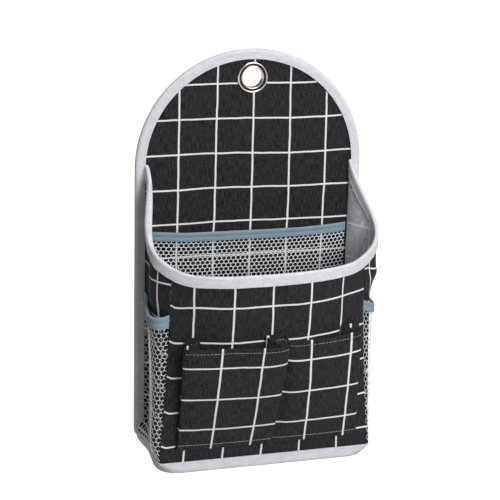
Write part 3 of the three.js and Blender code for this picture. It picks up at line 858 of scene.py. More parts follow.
def crease(from_back, height):
    """How far the left wall and its net are folded in, just in front of the back seam."""
    share = side_share(from_back)
    level = smooth(height / 14) * fade(height, *CREASE_FADE)
    return LEFT_CREASE * level * smooth(share / 0.06) * fade(share, 0.1, 0.35)


def fuller(u, height):
    """How much further to the right a side wall stands than its even surface."""
    side, mouth, from_back = (-1, LEFT, u) if u < 1.5 else (1, RIGHT, 3 - u)
    if not START < from_back < 1:
        return 0
    share = side_share(from_back)
    sooner = flared(height, *SOONER[side]) - flared(height)
    above = mouth["bulge"] * sooner * swelling(share, mouth["crest"])
    if side < 0:
        return crease(from_back, height) - above
    rise = clamp(height / SIDE_POCKET_HEIGHT) ** 0.6 * fade(height, *FULLNESS_FADE)
    at_corner = math.sqrt(clamp((1 - share) / 0.07))
    behind = RIGHT_FULLNESS * rise * smooth(share / 0.8) * at_corner
    return (above ** 4 + behind ** 4) ** 0.25


print("fullness half way along the sides:", [round(fuller(u, 120), 1) for u in (0.5, 2.5)], "mm")

# %% [markdown]
# The three walls are cut separately, so the check doesn't meet at their seams: each has its own
# crossing to count from, and a droop or a lean where the cloth is pulled. The grids stop just
# short of a front corner, where the surface has no single direction to face, and below the base
# seam they are drawn in there, to stay inside the base tape's turn.
# %% Wall panels
WALL_BOTTOM = -9.6
TOP_UNDER_TAPE = 0.4
NEAR_CORNER = 0.002
TURN_AT_SEAM = 2.5
TURN_AT_HEM = 19
CORNER_CUT = 0.3
WALL_CHECK = (34, 30.7)
LEFT_CROSSING = (25, 156)
FRONT_CROSSING = (20.9, 15.5)
RIGHT_CHECK = (32, 30.4)
RIGHT_CROSSING = (40.2, 151)
RIGHT_SEAM_CHECK = 72.2
RIGHT_PULL_START = 54


def corner_reach(height):
    """How far from a front corner the base tape starts its turn: wider the lower it hangs."""
    return mix(TURN_AT_HEM, TURN_AT_SEAM, smooth((height - HEM_BOTTOM) / (-HEM_BOTTOM)))


def corner_cut(to_corner, height):
    """How far a cloth inside the base tape is drawn in at a front corner."""
    reach = corner_reach(height)
    return CORNER_CUT * max(reach - to_corner, 0) ** 2 / reach if height < 0 else 0


def wall_at(stretch, face, seed, amount, cloth_of):
    def at(s, v):
        u = mix(*stretch, s)
        top = mouth_height(u) - TOP_UNDER_TAPE
        height = mix(WALL_BOTTOM, top, v)
        distance, length = run(face, u - face, height), run(face, 1, height)
        out = slack(distance, length, height, top, seed, amount)
        cuts = [corner_cut(distance, height) if face > 0 else 0,
                corner_cut(length - distance, height) if face < 2 else 0]
        x, y, _ = wall_point(u + (cuts[0] - cuts[1]) / length, height, sum(cuts) - out)
        x += fuller(u, height)
        from_back = min(u, 3 - u) * BAG_DEPTH
        spread = min(foot_flare(from_back, height), max(WALL_X + FOOT_FLARE - abs(x), 0))
        place = x + math.copysign(spread, x), y, height + foot_lift(from_back, height)
        return place, cloth_of(distance, length, height)
    return at


def left_cloth(distance, length, height):
    return check_at(distance, height, LEFT_CROSSING, WALL_CHECK)


def front_cloth(distance, length, height):
    droop = 1.8 * smooth((26 - distance) / 24) - 1.6 * smooth((5 - distance) / 5)
    across = BASE_FRONT_WIDTH * distance / length
    return check_at(across, height + droop, FRONT_CROSSING, WALL_CHECK)


def right_cloth(distance, length, height):
    lean = 11 * smooth((height - 188) / 26)
    rise = 4.5 * smooth((22 - distance) / 20)
    seam_line = length - 1.5
    share = (distance - RIGHT_PULL_START) / (seam_line - RIGHT_PULL_START)
    pulled = (RIGHT_SEAM_CHECK + lean - seam_line) * smooth(share)
    return check_at(distance + pulled - lean, height - rise, RIGHT_CROSSING, RIGHT_CHECK)


# Each wall's name, node, columns, stretch of u, waves' seed and size, cloth, flat size and area.
WALLS = [
    ("left_wall", "left_side_panel", 72, (-0.4, 1 - NEAR_CORNER), 31, 1.2, left_cloth,
     (0.082, 0.25), 0.0165),
    ("front_wall", "front_panel", 150, (1 + NEAR_CORNER, 2 - NEAR_CORNER), 47, 1.6, front_cloth,
     (0.187, 0.175), None),
    ("right_wall", "right_side_panel", 72, (2 + NEAR_CORNER, 3.4), 59, 1.2, right_cloth,
     (0.082, 0.25), 0.0155),
]
for face, (name, node_name, columns, stretch, seed, size, cloth, flat, area) in enumerate(WALLS):
    wall = lay_grid(name, columns, 96, wall_at(stretch, face, seed, size, cloth))
    make_sheet(wall, CLOTH, [check_face, check_reverse], "check_cloth", node_name, flat=flat,
               area=area, held="hung", rests_on=["panel_tape"])

# %% [markdown]
# The mouth's tape rides on the walls' top edge and dips with it. Each leg goes down square to the
# edge, so where the edge is steep the legs lean along the wall. Doubled tape can't make a sharp
# corner, so near each front corner a point of the tape is the mean of places on both sides of it.
# The outer leg stands off the left wall, as stiff tape does where its edge turns down steeply.
# %% Mouth tape
EDGE_TAPE = 0.64
MOUTH_FOLD = 1.8
MOUTH_LEG = TAPE_WIDTH - 1
MOUTH_CENTRE = 0.4
MOUTH_TOP = 0.8
MOUTH_PINCH = 0.35
MOUTH_NARROWING = 0.25
MOUTH_SPLAY = 2.6
MOUTH_WAVE = 0.35
MOUTH_REACH = 5
LEFT_RUN, FRONT_RUN, RIGHT_RUN = BAG_DEPTH, 183, 67
FRONT_END = LEFT_RUN + FRONT_RUN
EDGE_STITCH = 3.4


def mouth_run(u):
    """Length along the mouth's edge, near enough for the tape's ribs."""
    return clamp(u) * LEFT_RUN + clamp(u - 1) * FRONT_RUN + clamp(u - 2) * RIGHT_RUN


def from_run(distance):
    """The place along the walls, 0 to 3, at a length along the mouth's edge."""
    if distance < LEFT_RUN:
        return distance / LEFT_RUN
    if distance < FRONT_END:
        return 1 + (distance - LEFT_RUN) / FRONT_RUN
    return 2 + (distance - FRONT_END) / RIGHT_RUN


def eased(place_at, u, reach):
    """A point of a tape's path, its front corners rounded over a reach in millimetres."""
    distance = mouth_run(u)
    if min(abs(distance - LEFT_RUN), abs(distance - FRONT_END)) > reach:
        return place_at(u)
    places = [Vector(place_at(from_run(distance + reach * k / 4))) for k in range(-4, 5)]
    return tuple(sum(places, Vector()) / len(places))


def below_edge(u, down):
    """The place along the walls and the height, so far down square to the mouth's edge."""
    step = 1e-3
    length = MOUTH_WIDTH if 1 < u < 2 else BAG_DEPTH
    rise = (mouth_height(u + step) - mouth_height(u - step)) / (2 * step * length)
    lean = math.hypot(1, rise)
    low, high = (1, 2) if 1 < u < 2 else (START, 1) if u <= 1 else (2, 3 - START)
    return clamp(u + down * rise / lean / length, low, high), mouth_height(u) - down / lean


def mouth_splay(u):
    """How far the tape's outer leg stands off the left wall."""
    return MOUTH_SPLAY * math.sin(math.pi * clamp((u - 0.2) / 0.6))


def mouth_place(u, t):
    below_top, across, _ = fold_section(t, MOUTH_LEG, MOUTH_FOLD)
    narrower = MOUTH_NARROWING * smooth((u - 2.02) / 0.2) * smooth((2.75 - u) / 0.3)
    down = (below_top - MOUTH_TOP) * (1 - narrower)
    along, height = below_edge(u, down)
    distance = mouth_run(u)
    pucker = puckers(distance, EDGE_STITCH) * smooth((down - 4) / 4)
    pinched = MOUTH_FOLD * (1 - MOUTH_PINCH * smooth((down - 2) / 5) * (across > 0))
    inset = MOUTH_CENTRE + across * (pinched + pucker) + min(across, 0) * mouth_splay(u)
    wave = MOUTH_WAVE * ripple(distance, 0, 26, 71)
    x, y, height = wall_point(along, height + wave, inset)
    return x, min(y, -CLEAR_FRONT), height


def mouth_tape_at(s, t):
    u = mix(START, 3 - START, s)
    along_section = fold_section(t, MOUTH_LEG, MOUTH_FOLD)[2]
    place = eased(lambda spot: mouth_place(spot, t), u, MOUTH_REACH)
    return place, (mouth_run(u), along_section)


mouth_tape = lay_grid("mouth_tape", 300, 20, mouth_tape_at)
make_sheet(mouth_tape, EDGE_TAPE, [white_tape], "white_tape", "mouth_binding",
           flat=(0.0217, 0.37), held="folded", rests_on=["left_wall", "front_wall", "right_wall"])

# %% [markdown]
# The base tape is the same fold the other way up, hanging below the base seam. It turns wider at
# the front corners the lower it hangs, and its ends spread with the walls' foot.
# %% Base tape
BASE_FOLD = 2.2
BASE_LEG = 8.6
BASE_CENTRE = 1.0
BASE_WAVE = 0.3
BASE_START = START + 1.6 / BAG_DEPTH


def base_place(u, t):
    below_top, across, _ = fold_section(1 - t, BASE_LEG, BASE_FOLD)
    height = HEM_BOTTOM + below_top
    distance = mouth_run(u)
    pucker = puckers(distance, EDGE_STITCH) * smooth((height + 6) / 4)
    x, y, _ = wall_point(u, 0, BASE_CENTRE + across * (BASE_FOLD + pucker))
    from_back = min(u, 3 - u) * BAG_DEPTH
    height += BASE_WAVE * ripple(distance, 0, 34, 83) + foot_lift(from_back, height)
    return x + math.copysign(foot_flare(from_back, 0), x), y, height


def base_tape_at(s, t):
    u = mix(BASE_START, 3 - BASE_START, s)
    below_top, _, along_section = fold_section(1 - t, BASE_LEG, BASE_FOLD)
    reach = corner_reach(HEM_BOTTOM + below_top)
    return eased(lambda spot: base_place(spot, t), u, reach), (mouth_run(u), along_section)


base_tape = lay_grid("base_tape", 300, 20, base_tape_at)
make_sheet(base_tape, EDGE_TAPE, [white_tape], "white_tape", "base_binding",
           flat=(0.0241, 0.335), held="folded", rests_on=["front_wall"])

# %% [markdown]
# The base is a cloth with its edges turned down into the bound seam, a board on it, and a cloth
# over the board. Seen from above only the top cloth shows, and from below only the lower one.
# Both spread at the back with the walls' foot, and round off at the front corners with the base
# tape.
# %% Base cloths
BASE_CORNER = 14


def base_sheet_at(edge, height, hem, sag, seed):
    """A base cloth: edge is its gap to the walls, and hem how far its rim is turned down."""
    front, back = -BACK_FACE - BAG_DEPTH + edge, -CLEAR_FRONT - edge + 1.2
    depth = back - front

    def at(u, v):
        y_run = mix(-hem, depth + hem, v)
        y = back - clamp(y_run, 0, depth)
        corner = max(BASE_CORNER - (y - front), 0)
        round_off = BASE_CORNER - math.sqrt(BASE_CORNER ** 2 - corner ** 2)
        half = mix(WALL_X, BASE_FRONT_WIDTH / 2, (back - y) / depth)
        half += foot_flare(back - y, height) - edge - round_off
        x_run = mix(-half - hem, half + hem, 1 - u)
        x = clamp(x_run, -half, half)
        down = max(abs(x_run) - half, -y_run, y_run - depth, 0)
        sagged = sag * ripple(x, y, 40, seed) * smooth((half - abs(x)) / 14)
        place = x, y, height - down + sagged + foot_lift(back - y, -down)
        return place, check_at(x_run, y_run, (0, 0), PANEL_CHECK)
    return at


base_cloth = lay_grid("base_cloth", 80, 44, base_sheet_at(1.2, 0, 7.6, 0.3, 91))
make_sheet(base_cloth, CLOTH, [lining], "lining_cloth", "base_fabric", flat=(0.2, 0.09),
           held="stretched", rests_on=["base_tape"])
base_lining = lay_grid("base_lining_cloth", 80, 36, base_sheet_at(2.4, 2.35, 0, 0.5, 95))
make_sheet(base_lining, CLOTH, [lining], "lining_cloth", "base_lining", flat=(0.18, 0.07),
           held="laid", rests_on=["base_board"])

# %% [markdown]
# The mesh is a knit with rounded holes. One cell is a twelve-sided plate pulled to a hexagon,
# inset and opened. Array modifiers repeat it into a honeycomb, which is welded and trimmed
# straight with bisect. Every hole is a real one, so the cloth behind shows through.
# %% Honeycomb
HOLE_PITCH = 4.3
HOLE_SWELL = 1.04
CELL_WELD = 0.01


def honeycomb(name, width, height, row_pitch, strand):
    """A flat net of rounded holes in millimetres, its lower left corner at the origin."""
    clear_selection()
    radius = HOLE_PITCH / math.sqrt(3)
    inner_radius = math.cos(math.pi / 6)
    squash = row_pitch / (1.5 * radius)
    bpy.ops.mesh.primitive_circle_add(vertices=12, radius=radius, fill_type="NGON")
    net = named(name)
    for vertex in net.data.vertices:
        step = round(math.degrees(math.atan2(vertex.co.x, vertex.co.y)) / 30)
        if step % 2:
            vertex.co *= inner_radius
    edit(net)
    bpy.ops.mesh.inset(thickness=strand / 2)
    bpy.ops.mesh.delete(type="FACE")
    leave_edit()
    hole = HOLE_PITCH / 2 - strand / 2
    for vertex in net.data.vertices:
        if vertex.co.length < radius * inner_radius - CELL_WELD:
            vertex.co = vertex.co.normalized() * mix(vertex.co.length, hole * HOLE_SWELL, 0.5)
        vertex.co.y *= squash
    columns = math.ceil(width / HOLE_PITCH) + 2
    pairs = math.ceil(height / (2 * row_pitch)) + 1
    shifts = ((columns, HOLE_PITCH, 0), (2, HOLE_PITCH / 2, row_pitch), (pairs, 0, 2 * row_pitch))
    for count, dx, dy in shifts:
        modify(net, "ARRAY", count=count, use_relative_offset=False, use_constant_offset=True,
               constant_offset_displace=(dx, dy, 0))
    edit(net)
    bpy.ops.mesh.remove_doubles(threshold=CELL_WELD)
    bpy.ops.transform.translate(value=(-HOLE_PITCH / 2, -row_pitch / 2, 0))
    for place, normal in (((0, 0, 0), (-1, 0, 0)), ((width, 0, 0), (1, 0, 0)),
                          ((0, 0, 0), (0, -1, 0)), ((0, height, 0), (0, 1, 0))):
        bpy.ops.mesh.select_all(action="SELECT")
        bpy.ops.mesh.bisect(plane_co=place, plane_no=normal, clear_outer=True)
    bpy.ops.mesh.select_all(action="SELECT")
    bpy.ops.mesh.normals_make_consistent(inside=False)
    leave_edit()
    if net.data.polygons[0].normal.z < 0:
        net.data.flip_normals()
    return net


print("holes", HOLE_PITCH, "mm apart")

# %% [markdown]
# Each pocket has a surface of its own. The inner one hangs slack between the side walls. A side
# pocket is drawn at each height as a line from the back seam to the front one, which stands off
# the wall more the higher it is. It is sewn in at the foot, and its top edge sags.
# %% Pocket surfaces
INNER_HALF = WALL_X - 2.4
INNER_TOP = 182
INNER_SLACK = 11
INNER_SWAY = 1.2
INNER_OFF = 1.2
NET_GROWTH = {-1: 2.2, 1: 0.7}
NET_SPREAD = 14
SEWN = 0.8
RIDGE_SHIFT = 0.06
# From the back seam to the front one: share of the depth, how far the net stands off the wall
# just above its foot and at the top, and how far its top edge dips there.
NET_OUTLINES = {
    -1: [(0, 1.6, 0.8, 0), (0.05, 1.8, 1, 0.1), (0.1, 1.8, 1.3, 0.2), (0.22, 1.8, 2.6, 0.4),
         (0.35, 1.9, 4.8, 0.7), (0.5, 2, 7.4, 1), (0.72, 4, 10.7, 1.5), (0.84, 6.2, 13, 1.6),
         (0.93, 7.4, 10.5, 2), (0.98, 5, 5.5, 1.5), (0.998, 0.4, 0.5, 0)],
    1: [(0, 1.2, 2, 0), (0.3, 1.6, 4.5, 4), (0.6, 2, 7.3, 7), (0.78, 2.2, 8.5, 7.5),
        (0.9, 2.2, 8.2, 6.5), (0.965, 2.2, 6, 4.5), (0.999, 0.5, 0.6, 2), (1.009, 0.5, 0.6, 2)],
}


def inner_pocket(u, height, out):
    slack_here = INNER_SLACK * (1 - abs(2 * u - 1) ** 4) * clamp(height / INNER_TOP)
    sway = INNER_SWAY * ripple(u * 180, height, 46, 101) * smooth(u * 8) * smooth((1 - u) * 8)
    y = -(BACK_FACE + INNER_OFF + slack_here + sway + out)
    return mix(-INNER_HALF, INNER_HALF, u), y, height


def point_outside(side, from_back, height, out):
    """A point set out from a side wall: sideways at the back seam, and square to it beyond."""
    along = from_back if side < 0 else 3 - from_back
    seam_x, seam_y = wall_plan(along, height)
    x, y, _ = wall_point(along, height, -out)
    square = clamp((from_back - START) * 5)
    return mix(seam_x + side * out, x, square), mix(seam_y, y, square)


@functools.lru_cache(None)
def net_section(side, height):
    """A side pocket's line at a height, from the back seam to the front one, in even steps."""
    t = clamp(height / SIDE_POCKET_HEIGHT)
    points = []
    for share, foot, top, dip in NET_OUTLINES[side]:
        from_back = mix(START, 1, share)
        full = mix(foot, top, t ** NET_GROWTH[side])
        stand = mix(min(foot, SEWN), full, smooth(height / NET_SPREAD))
        x, y = point_outside(side, from_back, height, stand)
        x += side * foot_flare(from_back * BAG_DEPTH, height)
        if side < 0:
            x += crease(from_back, height)
        points.append((x, y, dip * t ** 3))
    return even_steps(rounded(points), 100)[0]


def side_pocket(side, u, height, out):
    """A side pocket's surface. On the left its fullness is pushed to a ridge near the front."""
    steps = net_section(side, round(height * 2) / 2)
    share = u + RIDGE_SHIFT * math.sin(math.pi * clamp(u / 0.7)) if side < 0 else 1 - u
    x, y, dip = on_line(steps, share)
    before, after = on_line(steps, share - 0.01), on_line(steps, share + 0.01)
    dx, dy = after[0] - before[0], after[1] - before[1]
    scale = side * out / math.hypot(dx, dy)
    return x - dy * scale, y + dx * scale, height - dip


left_pocket, right_pocket = (functools.partial(side_pocket, side) for side in (-1, 1))
print("inner pocket's middle:", [round(c, 1) for c in inner_pocket(0.5, INNER_TOP, 0)])

# %% [markdown]
# A flat honeycomb is laid on its pocket's surface and only then given the yarn's thickness. Its
# area counts the yarn and not the holes, so it is measured while the net still lies flat.
# %% Mesh nets
NET = 0.2
NET_UNDER_TAPE = 1.2
INNER_ROWS = (3.25, 0.66)
SIDE_ROWS = (3.7, 0.46)
SIDE_STRETCH = (0.4, SIDE_POCKET_HEIGHT - NET_UNDER_TAPE)
SIDE_NET_FLAT = (0.077, 0.129)
# Each net's place, surface, width, foot and top, rows and strands, flat size, hold and support.
NETS = [
    ("inner", inner_pocket, 2 * WALL_X, (2.7, INNER_TOP - NET_UNDER_TAPE), INNER_ROWS,
     (0.182, 0.176), "hung", "back_face_cloth"),
    ("left", left_pocket, 77, SIDE_STRETCH, SIDE_ROWS, SIDE_NET_FLAT, "gathered", "left_wall"),
    ("right", right_pocket, 77, SIDE_STRETCH, SIDE_ROWS, SIDE_NET_FLAT, "gathered", "right_wall"),
]
for place, surface, width, (foot, top), rows, flat, held, support in NETS:
    net = honeycomb(f"{place}_net", width, top - foot, *rows)
    for vertex in net.data.vertices:
        height = foot + vertex.co.y
        vertex.co = in_frame(surface(vertex.co.x / width, height, NET))
    thicken(net, NET, [yarn])
    finish_piece(net, "mesh", [f"{place}_mesh_net"], sharp=180)
    print(net.name, len(net.data.polygons), "faces")

# %% [markdown]
# A soft blue tape is folded over the top of each net and sewn down along its middle, which draws
# a groove between two bands. It is the same folded section again, laid on the net's own surface.
# %% Pocket tapes
POCKET_TAPE = 0.56
EDGE_FOLD = 1.5
GROOVE_DEPTH = 0.55
GROOVE_PLACE = 0.52
GROOVE_WIDTH = 0.8
TOP_WAVE = 0.4
TAPE_CENTRE = 0.3
END_PINCH = 0.35
PINCH_RUN = 7


def net_tape_at(surface, top, length, width, seed):
    def at(s, t):
        below_top, across, along_section = fold_section(t, width - EDGE_FOLD, EDGE_FOLD)
        off_groove = (below_top - width * GROOVE_PLACE) / GROOVE_WIDTH
        groove = GROOVE_DEPTH * math.exp(-off_groove ** 2)
        wave = TOP_WAVE * ripple(s * length, 0, 22, seed)
        pinch = mix(END_PINCH, 1, smooth(min(s, 1 - s) * length / PINCH_RUN))
        out = TAPE_CENTRE - across * (EDGE_FOLD - groove) * pinch
        return surface(s, top - below_top + wave, out), (s * length, along_section)
    return at


# Each tape's place, surface, top, length, width once folded, columns and waves' seed.
POCKET_TAPES = [
    ("inner", inner_pocket, INNER_TOP, 184, 7.8, 160, 10),
    ("left", left_pocket, SIDE_POCKET_HEIGHT, 77, 10.6, 110, 9),
    ("right", right_pocket, SIDE_POCKET_HEIGHT, 72, 9.6, 110, 10),
]
for place, surface, top, length, width, columns, seed in POCKET_TAPES:
    at = net_tape_at(surface, top, length, width, seed)
    tape = lay_grid(f"{place}_tape", columns, 26, at)
    flat_width = (2 * (width - EDGE_FOLD) + math.pi * EDGE_FOLD) * MM
    make_sheet(tape, POCKET_TAPE, [blue_tape], "blue_tape", f"{place}_mesh_tape",
               flat=(flat_width, length * MM), held="folded", rests_on=[f"{place}_net"])

# %% [markdown]
# The front pocket is one cloth, sewn down the middle and at both ends, with spare width that
# stands out as two pouches. Each row's section is drawn with a few corners and rounded, and its
# check lines are given places on it, so the cloth between them can be taut or slack.
# %% Front pocket's section
POCKET_BOTTOM = 12
POCKET_TOP = 105
POCKET_RISE = POCKET_TOP - POCKET_BOTTOM
SECTION_STEPS = 270
# The bellows fold behind a pouch's end, from the wall's seam out to the fold in front: how far in
# from the fold and how far out from the wall, at the foot and at the top; how far the hem is
# drawn up; and the share of the fold's cloth that is used up.
PLEAT = [
    (5, 8, 0.1, 0.5, 7.5, 0.30), (8, 13, 0.3, 1.0, 7.5, 0.47), (8.3, 13.7, 0.6, 3.0, 6.5, 0.52),
    (4, 7, 0.8, 5.6, 3.2, 0.75), (0.2, 0.4, 0.95, 7.4, 1.6, 0.96),
]
PLEAT_CHECKS = 0.9


def pocket_outline(height):
    """The pocket's section at a height, from left to right. Each point is a place across the
    front, how far it stands out, how far the hem is drawn up, and the coordinate across."""
    t = clamp((height - POCKET_BOTTOM) / POCKET_RISE)
    taut = t ** 1.5
    depth = mix(1.9, 11, t ** 0.85)
    left_fold, right_fold = mix(-78.9, -72.6, t), mix(79.9, 75.6, t)
    seam = mix(2.6, 9.5, t)
    lines = [mix(-50.4, -43.6, t), mix(-16, -11, t), mix(32, 32.7, t), mix(67.8, 65.8, t)]

    def pleat(fold, inward, first):
        return [(fold + inward * mix(a, b, t), mix(c, d, t), lift, first * (1 - used))
                for a, b, c, d, lift, used in PLEAT]

    def left(x, out, lift=0.0):
        return x, out, lift, (x - lines[0]) / (lines[1] - lines[0])

    def right_side(x, out, lift=0.0):
        return x, out, lift, 3 + (x - lines[2]) / (lines[3] - lines[2])

    left_end, middle_end = left(left_fold, 0)[3], left(seam + 2, 0)[3]
    middle_seam, right_end = right_side(seam, 0)[3], right_side(right_fold, 0)[3]
    points = [(mix(-79.6, -73.2, t), 0, 4, left_end - PLEAT_CHECKS)]
    points += [(x, out, lift, left_end + used)
               for x, out, lift, used in pleat(left_fold, 0.78, -PLEAT_CHECKS)]
    points += [
        left(left_fold, depth * 0.88, 0.8), left(left_fold + 2, depth, 0.3),
        left(left_fold + 10, depth * mix(1.1, 0.85, taut)),
        left(-35, depth * mix(1.25, 0.45, taut)),
        left(seam - 24, depth * mix(1.25, 0.85, taut)),
        left(seam - 12, depth * mix(1.2, 1.08, taut), 0.2),
        left(seam - 3, depth * mix(1.1, 1.08, taut), 0.8),
        left(seam + 1.8 * t, depth * 0.96, 2.2), left(seam + 0.6 + 1.8 * t, depth * 0.76, 3.5),
    ]
    behind = [(x, out, lift, mix(middle_end, middle_seam, used / PLEAT_CHECKS))
              for x, out, lift, used in pleat(seam + 0.5, -1.22, PLEAT_CHECKS)]
    points += behind[::-1]
    points += [
        (seam - 1, 0.2, 8, middle_seam), (seam + 1.6, 0.3, 7.6, middle_seam),
        right_side(seam + 2.7, 0.9, 1.6), right_side(seam + 5, mix(1.2, 1.5, t), 0.9),
        right_side(seam + 10, depth * mix(0.9, 0.2, taut), 0.3),
        right_side(mix(seam, right_fold, 0.4), depth * mix(1.0, 0.22, taut), 0.1),
        right_side(mix(seam, right_fold, 0.7), depth * mix(1.15, 0.5, taut), 0.8),
        right_side(right_fold - 8, depth * mix(1.1, 0.85, taut), 2.4),
        right_side(right_fold - 1, depth * 0.98, 3.8), right_side(right_fold, depth * 0.85, 4.4),
    ]
    end_pleat = [(x, out, max(lift, 5), right_end + used)
                 for x, out, lift, used in pleat(right_fold, -1, PLEAT_CHECKS)]
    return points + end_pleat[::-1] + [(mix(81, 81.5, t), 0, 4.5, right_end + PLEAT_CHECKS)]


@functools.lru_cache(None)
def pocket_section(height):
    """The rounded section in even steps, and the length of the cloth along it."""
    return even_steps(rounded(pocket_outline(height)), SECTION_STEPS)


hem_length, foot_length = (pocket_section(height)[1] for height in (POCKET_TOP, POCKET_BOTTOM))
print("front pouches run", round(hem_length), "mm at the hem,", round(foot_length), "at the foot")

# %% [markdown]
# The sections are stacked into the cloth. Its top edge is a hem: past the top the rows go round a
# small turn and back down on the inside. The hem is drawn up at the folds, as bunched cloth is.
# %% Front pocket
POCKET_CLOTH = 0.6
HEM_TURN = 7
HEM_RADIUS = 0.7
HEM_ARC = math.pi * HEM_RADIUS
POCKET_OFF = 1.2
POCKET_CHECK = 28.5
POCKET_CROSSING = 3


def pocket_point(k, height, inward):
    """A point of the pocket's cloth, set in square to it."""
    steps, _ = pocket_section(height)
    x, out = steps[k][:2]
    (ax, ao), (bx, bo) = steps[max(k - 1, 0)][:2], steps[min(k + 1, SECTION_STEPS)][:2]
    length = math.hypot(bx - ax, bo - ao)
    x += (bo - ao) / length * inward
    out -= (bx - ax) / length * inward
    left, right_edge = front_corner(-1, height)[0], front_corner(1, height)[0]
    u = 1 + clamp((x - left) / (right_edge - left), 0.003, 0.997)
    return wall_point(u, height, -(POCKET_OFF + out))


def pocket_cloth(s, travel):
    """A place so far up the cloth from its foot, over the hem's turn and down inside it."""
    k = round(s * SECTION_STEPS)
    if travel < POCKET_RISE:
        level, inward = travel, 0
    elif travel < POCKET_RISE + HEM_ARC:
        angle = (travel - POCKET_RISE) / HEM_RADIUS
        level = POCKET_RISE + HEM_RADIUS * math.sin(angle)
        inward = HEM_RADIUS * (1 - math.cos(angle))
    else:
        level, inward = POCKET_RISE - (travel - POCKET_RISE - HEM_ARC), 2 * HEM_RADIUS
    section_height = round(POCKET_BOTTOM + min(level, POCKET_RISE), 2)
    x, y, _ = pocket_point(k, section_height, inward)
    _, _, lift, across = pocket_section(section_height)[0][k]
    height = POCKET_BOTTOM + level + lift * (level / POCKET_RISE) ** 4
    return (x, y, height), (across, (POCKET_BOTTOM + travel - POCKET_CROSSING) / POCKET_CHECK)


front_pocket = lay_grid("front_pouches", SECTION_STEPS, 84,
                        lambda s, v: pocket_cloth(s, v * (POCKET_RISE + HEM_ARC + HEM_TURN)))
make_sheet(front_pocket, POCKET_CLOTH, [check_face], "check_cloth", "front_pocket",
           flat=(0.24, 0.102), held="folded", rests_on=["front_wall"])

# %% [markdown]
# The eyelet is turned metal, so a spin makes it: a small ring is shaped to the flange's section
# and spun round the hole's axis. The flange has a domed rim, a groove and a rolled inner lip over
# the barrel. The washer behind it holds the panel from the wall side.
# %% Eyelet
BORE = 8.75
BARREL = 9.35
RIM = 13.5
SPIN_STEPS = 96
SPIN_WELD = 0.01


def arc_points(r, out, radius_r, radius_out, first, last, count):
    """Points on part of an ellipse: distance from the axis, and distance in front of the wall."""
    angles = [math.radians(mix(first, last, i / count)) for i in range(count + 1)]
    return [(r + radius_r * math.cos(a), out + radius_out * math.sin(a)) for a in angles]


FLANGE = [
    *arc_points(12.3, 4.4, 1.2, 1.9, 0, 172, 14),
    (10.7, 4.62), (10.15, 4.7),
    *arc_points(9.4, 5.1, 0.65, 0.75, -10, 180, 8),
    (BORE, 3.0), (BORE, 0.2), (BARREL, 0.2), (BARREL, 4.2),
    (11.0, 4.3), (12.2, 5.6), (12.9, 4.9), (13.0, 4.4),
]
WASHER = [
    (BARREL + 0.3, 0.8), (BARREL + 0.3, 0.35), *arc_points(11.3, 0.45, 1.6, 0.25, 180, 360, 8),
    (RIM, 0.55), (RIM, 0.8),
]


def spun(name, outline, node_name):
    """Shape a ring of points to a section and spin it round the eyelet's axis."""
    clear_selection()
    bpy.ops.mesh.primitive_circle_add(vertices=len(outline), radius=1, fill_type="NOTHING")
    piece = named(name)
    for vertex, (r, out) in zip(piece.data.vertices, outline):
        vertex.co = Vector((r, -out, 0)) * MM
    edit(piece)
    bpy.ops.mesh.spin(steps=SPIN_STEPS, angle=2 * math.pi, center=(0, 0, 0), axis=(0, 1, 0))
    bpy.ops.mesh.select_all(action="SELECT")
    bpy.ops.mesh.remove_doubles(threshold=SPIN_WELD * MM)
    bpy.ops.mesh.normals_make_consistent(inside=False)
    leave_edit()
    piece.data.materials.append(nickel)
    finish_piece(piece, "nickel", [node_name], sharp=45)
    print(name, len(piece.data.polygons), "faces")


spun("eyelet_ring", FLANGE, "eyelet_flange")
spun("eyelet_back", WASHER, "eyelet_washer")

# %% [markdown]
# Stitches are too small for a pattern to fake at a seam's edge. One stitch is a short rounded
# thread, made once and copied along each row, and every row is joined to one piece. Rows follow
# the same functions as the cloth under them.
# %% Stitch rows
STITCH_LENGTH = 2.1
STITCH_WIDTH = 0.42
STITCH_DEPTH = 0.8
PANEL_ROW_INSET = 7.0
PANEL_ROW_FRONT = -5.95
PANEL_ROW_BACK = 0.02


def stitch_row(name, places, facing, length=STITCH_LENGTH, material=thread):
    """Copy one stitch along a line of places. facing(i) is the way the cloth faces there."""
    clear_selection()
    bpy.ops.mesh.primitive_uv_sphere_add(segments=6, ring_count=4, radius=0.5 * MM)
    row = named(name)
    size = Matrix.Diagonal((length, STITCH_WIDTH, STITCH_WIDTH * STITCH_DEPTH, 1))
    stitches = bmesh.new()
    for i in range(len(places) - 1):
        a, b = in_frame(places[i]), in_frame(places[i + 1])
        along = (b - a).normalized()
        across = Vector(facing(i)).normalized().cross(along).normalized()
        turn = Matrix((along, across, along.cross(across))).transposed().to_4x4()
        copy = row.data.copy()
        copy.transform(Matrix.Translation((a + b) / 2) @ turn @ size)
        stitches.from_mesh(copy)
        bpy.data.meshes.remove(copy)
    stitches.to_mesh(row.data)
    stitches.free()
    row.data.materials.append(material)
    finish_piece(row, "white_tape", sharp=180)
    print(name, len(places) - 1, "stitches")


def even_places(point_at, length, spacing):
    count = round(length / spacing)
    return [point_at(i / count) for i in range(count + 1)]


def panel_places(y):
    """Places round the panel's tape, near its inner edge, at a distance from the wall."""
    def at(f):
        x, z = panel_edge(f * EDGE_LENGTH, PANEL_ROW_INSET)
        return x, y, z
    return even_places(at, EDGE_LENGTH, PANEL_STITCH)


stitch_row("panel_stitches_front", panel_places(PANEL_ROW_FRONT), lambda i: (0, -1, 0))
stitch_row("panel_stitches_back", panel_places(PANEL_ROW_BACK), lambda i: (0, 1, 0))

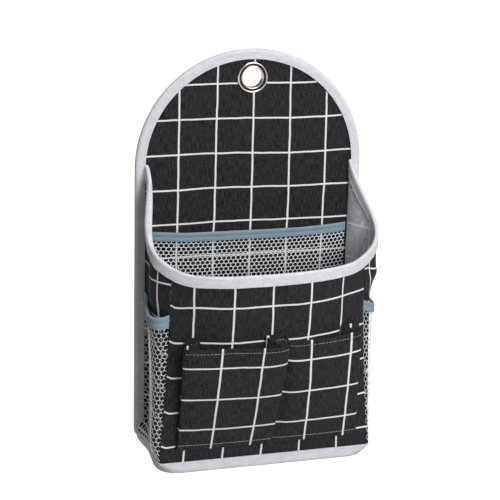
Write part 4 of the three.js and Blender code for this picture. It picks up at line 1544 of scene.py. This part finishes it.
# %% [markdown]
# The rows on the mouth's tape lie near the lower edge of each leg, and the outer row stands off
# the left wall with its leg. The row on the base tape runs just below the base seam.
# %% Stitches on the walls' tapes
MOUTH_ROW = 340
MOUTH_ROW_DOWN = 7.4
MOUTH_ROW_INSETS = {"outer": -1.45, "inner": 1.65}
ROW_END = 0.03
BASE_ROW = 330
BASE_ROW_ENDS = (0.06, 2.94)
BASE_ROW_HEIGHT = -1.6
BASE_ROW_OUT = 1.25


def wall_way(u, height, sign=-1):
    """The way a wall faces: outward, or inward with sign 1."""
    a, b = wall_point(u, height, 0), wall_point(u, height, sign)
    return b[0] - a[0], b[1] - a[1], 0


def mouth_stitches(inset):
    def at(f):
        u = mix(START + ROW_END, 3 - START - ROW_END, f)
        along, height = below_edge(u, MOUTH_ROW_DOWN)
        splay = mouth_splay(u) if inset < 0 else 0
        return wall_point(along, height, inset - splay)
    return at


for side, inset in MOUTH_ROW_INSETS.items():
    places = even_places(mouth_stitches(inset), MOUTH_ROW, EDGE_STITCH)
    stitch_row(f"mouth_stitches_{side}", places, lambda i: wall_way(
        mix(START, 3 - START, i / (len(places) - 1)), FRONT_HEIGHT - 5, math.copysign(1, inset)))
places = even_places(
    lambda f: wall_point(mix(*BASE_ROW_ENDS, f), BASE_ROW_HEIGHT, -BASE_ROW_OUT),
    BASE_ROW, EDGE_STITCH)
stitch_row("base_stitches", places, lambda i: wall_way(mix(*BASE_ROW_ENDS, i / len(places)), 0))

# %% [markdown]
# The pouches are sewn with darker thread, in one row along the hem and one along the foot.
# %% Stitches on the pouches
POUCH_STITCH = 2.6
POUCH_STITCH_LENGTH = 2.45
POUCH_ROW_OFF = 0.08
POUCH_ROW_ENDS = (0.004, 0.996)
# How far up the cloth each row runs.
POUCH_ROWS = {"hem_stitches": 89.4, "pocket_foot_stitches": 4.6}
for name, travel in POUCH_ROWS.items():
    count = round(hem_length / POUCH_STITCH)
    shares = [mix(*POUCH_ROW_ENDS, i / count) for i in range(count + 1)]
    places = [(x, y - POUCH_ROW_OFF, z)
              for (x, y, z), _ in (pocket_cloth(s, travel) for s in shares)]
    stitch_row(name, places, lambda i: (0, -1, 0), POUCH_STITCH_LENGTH, dark_thread)
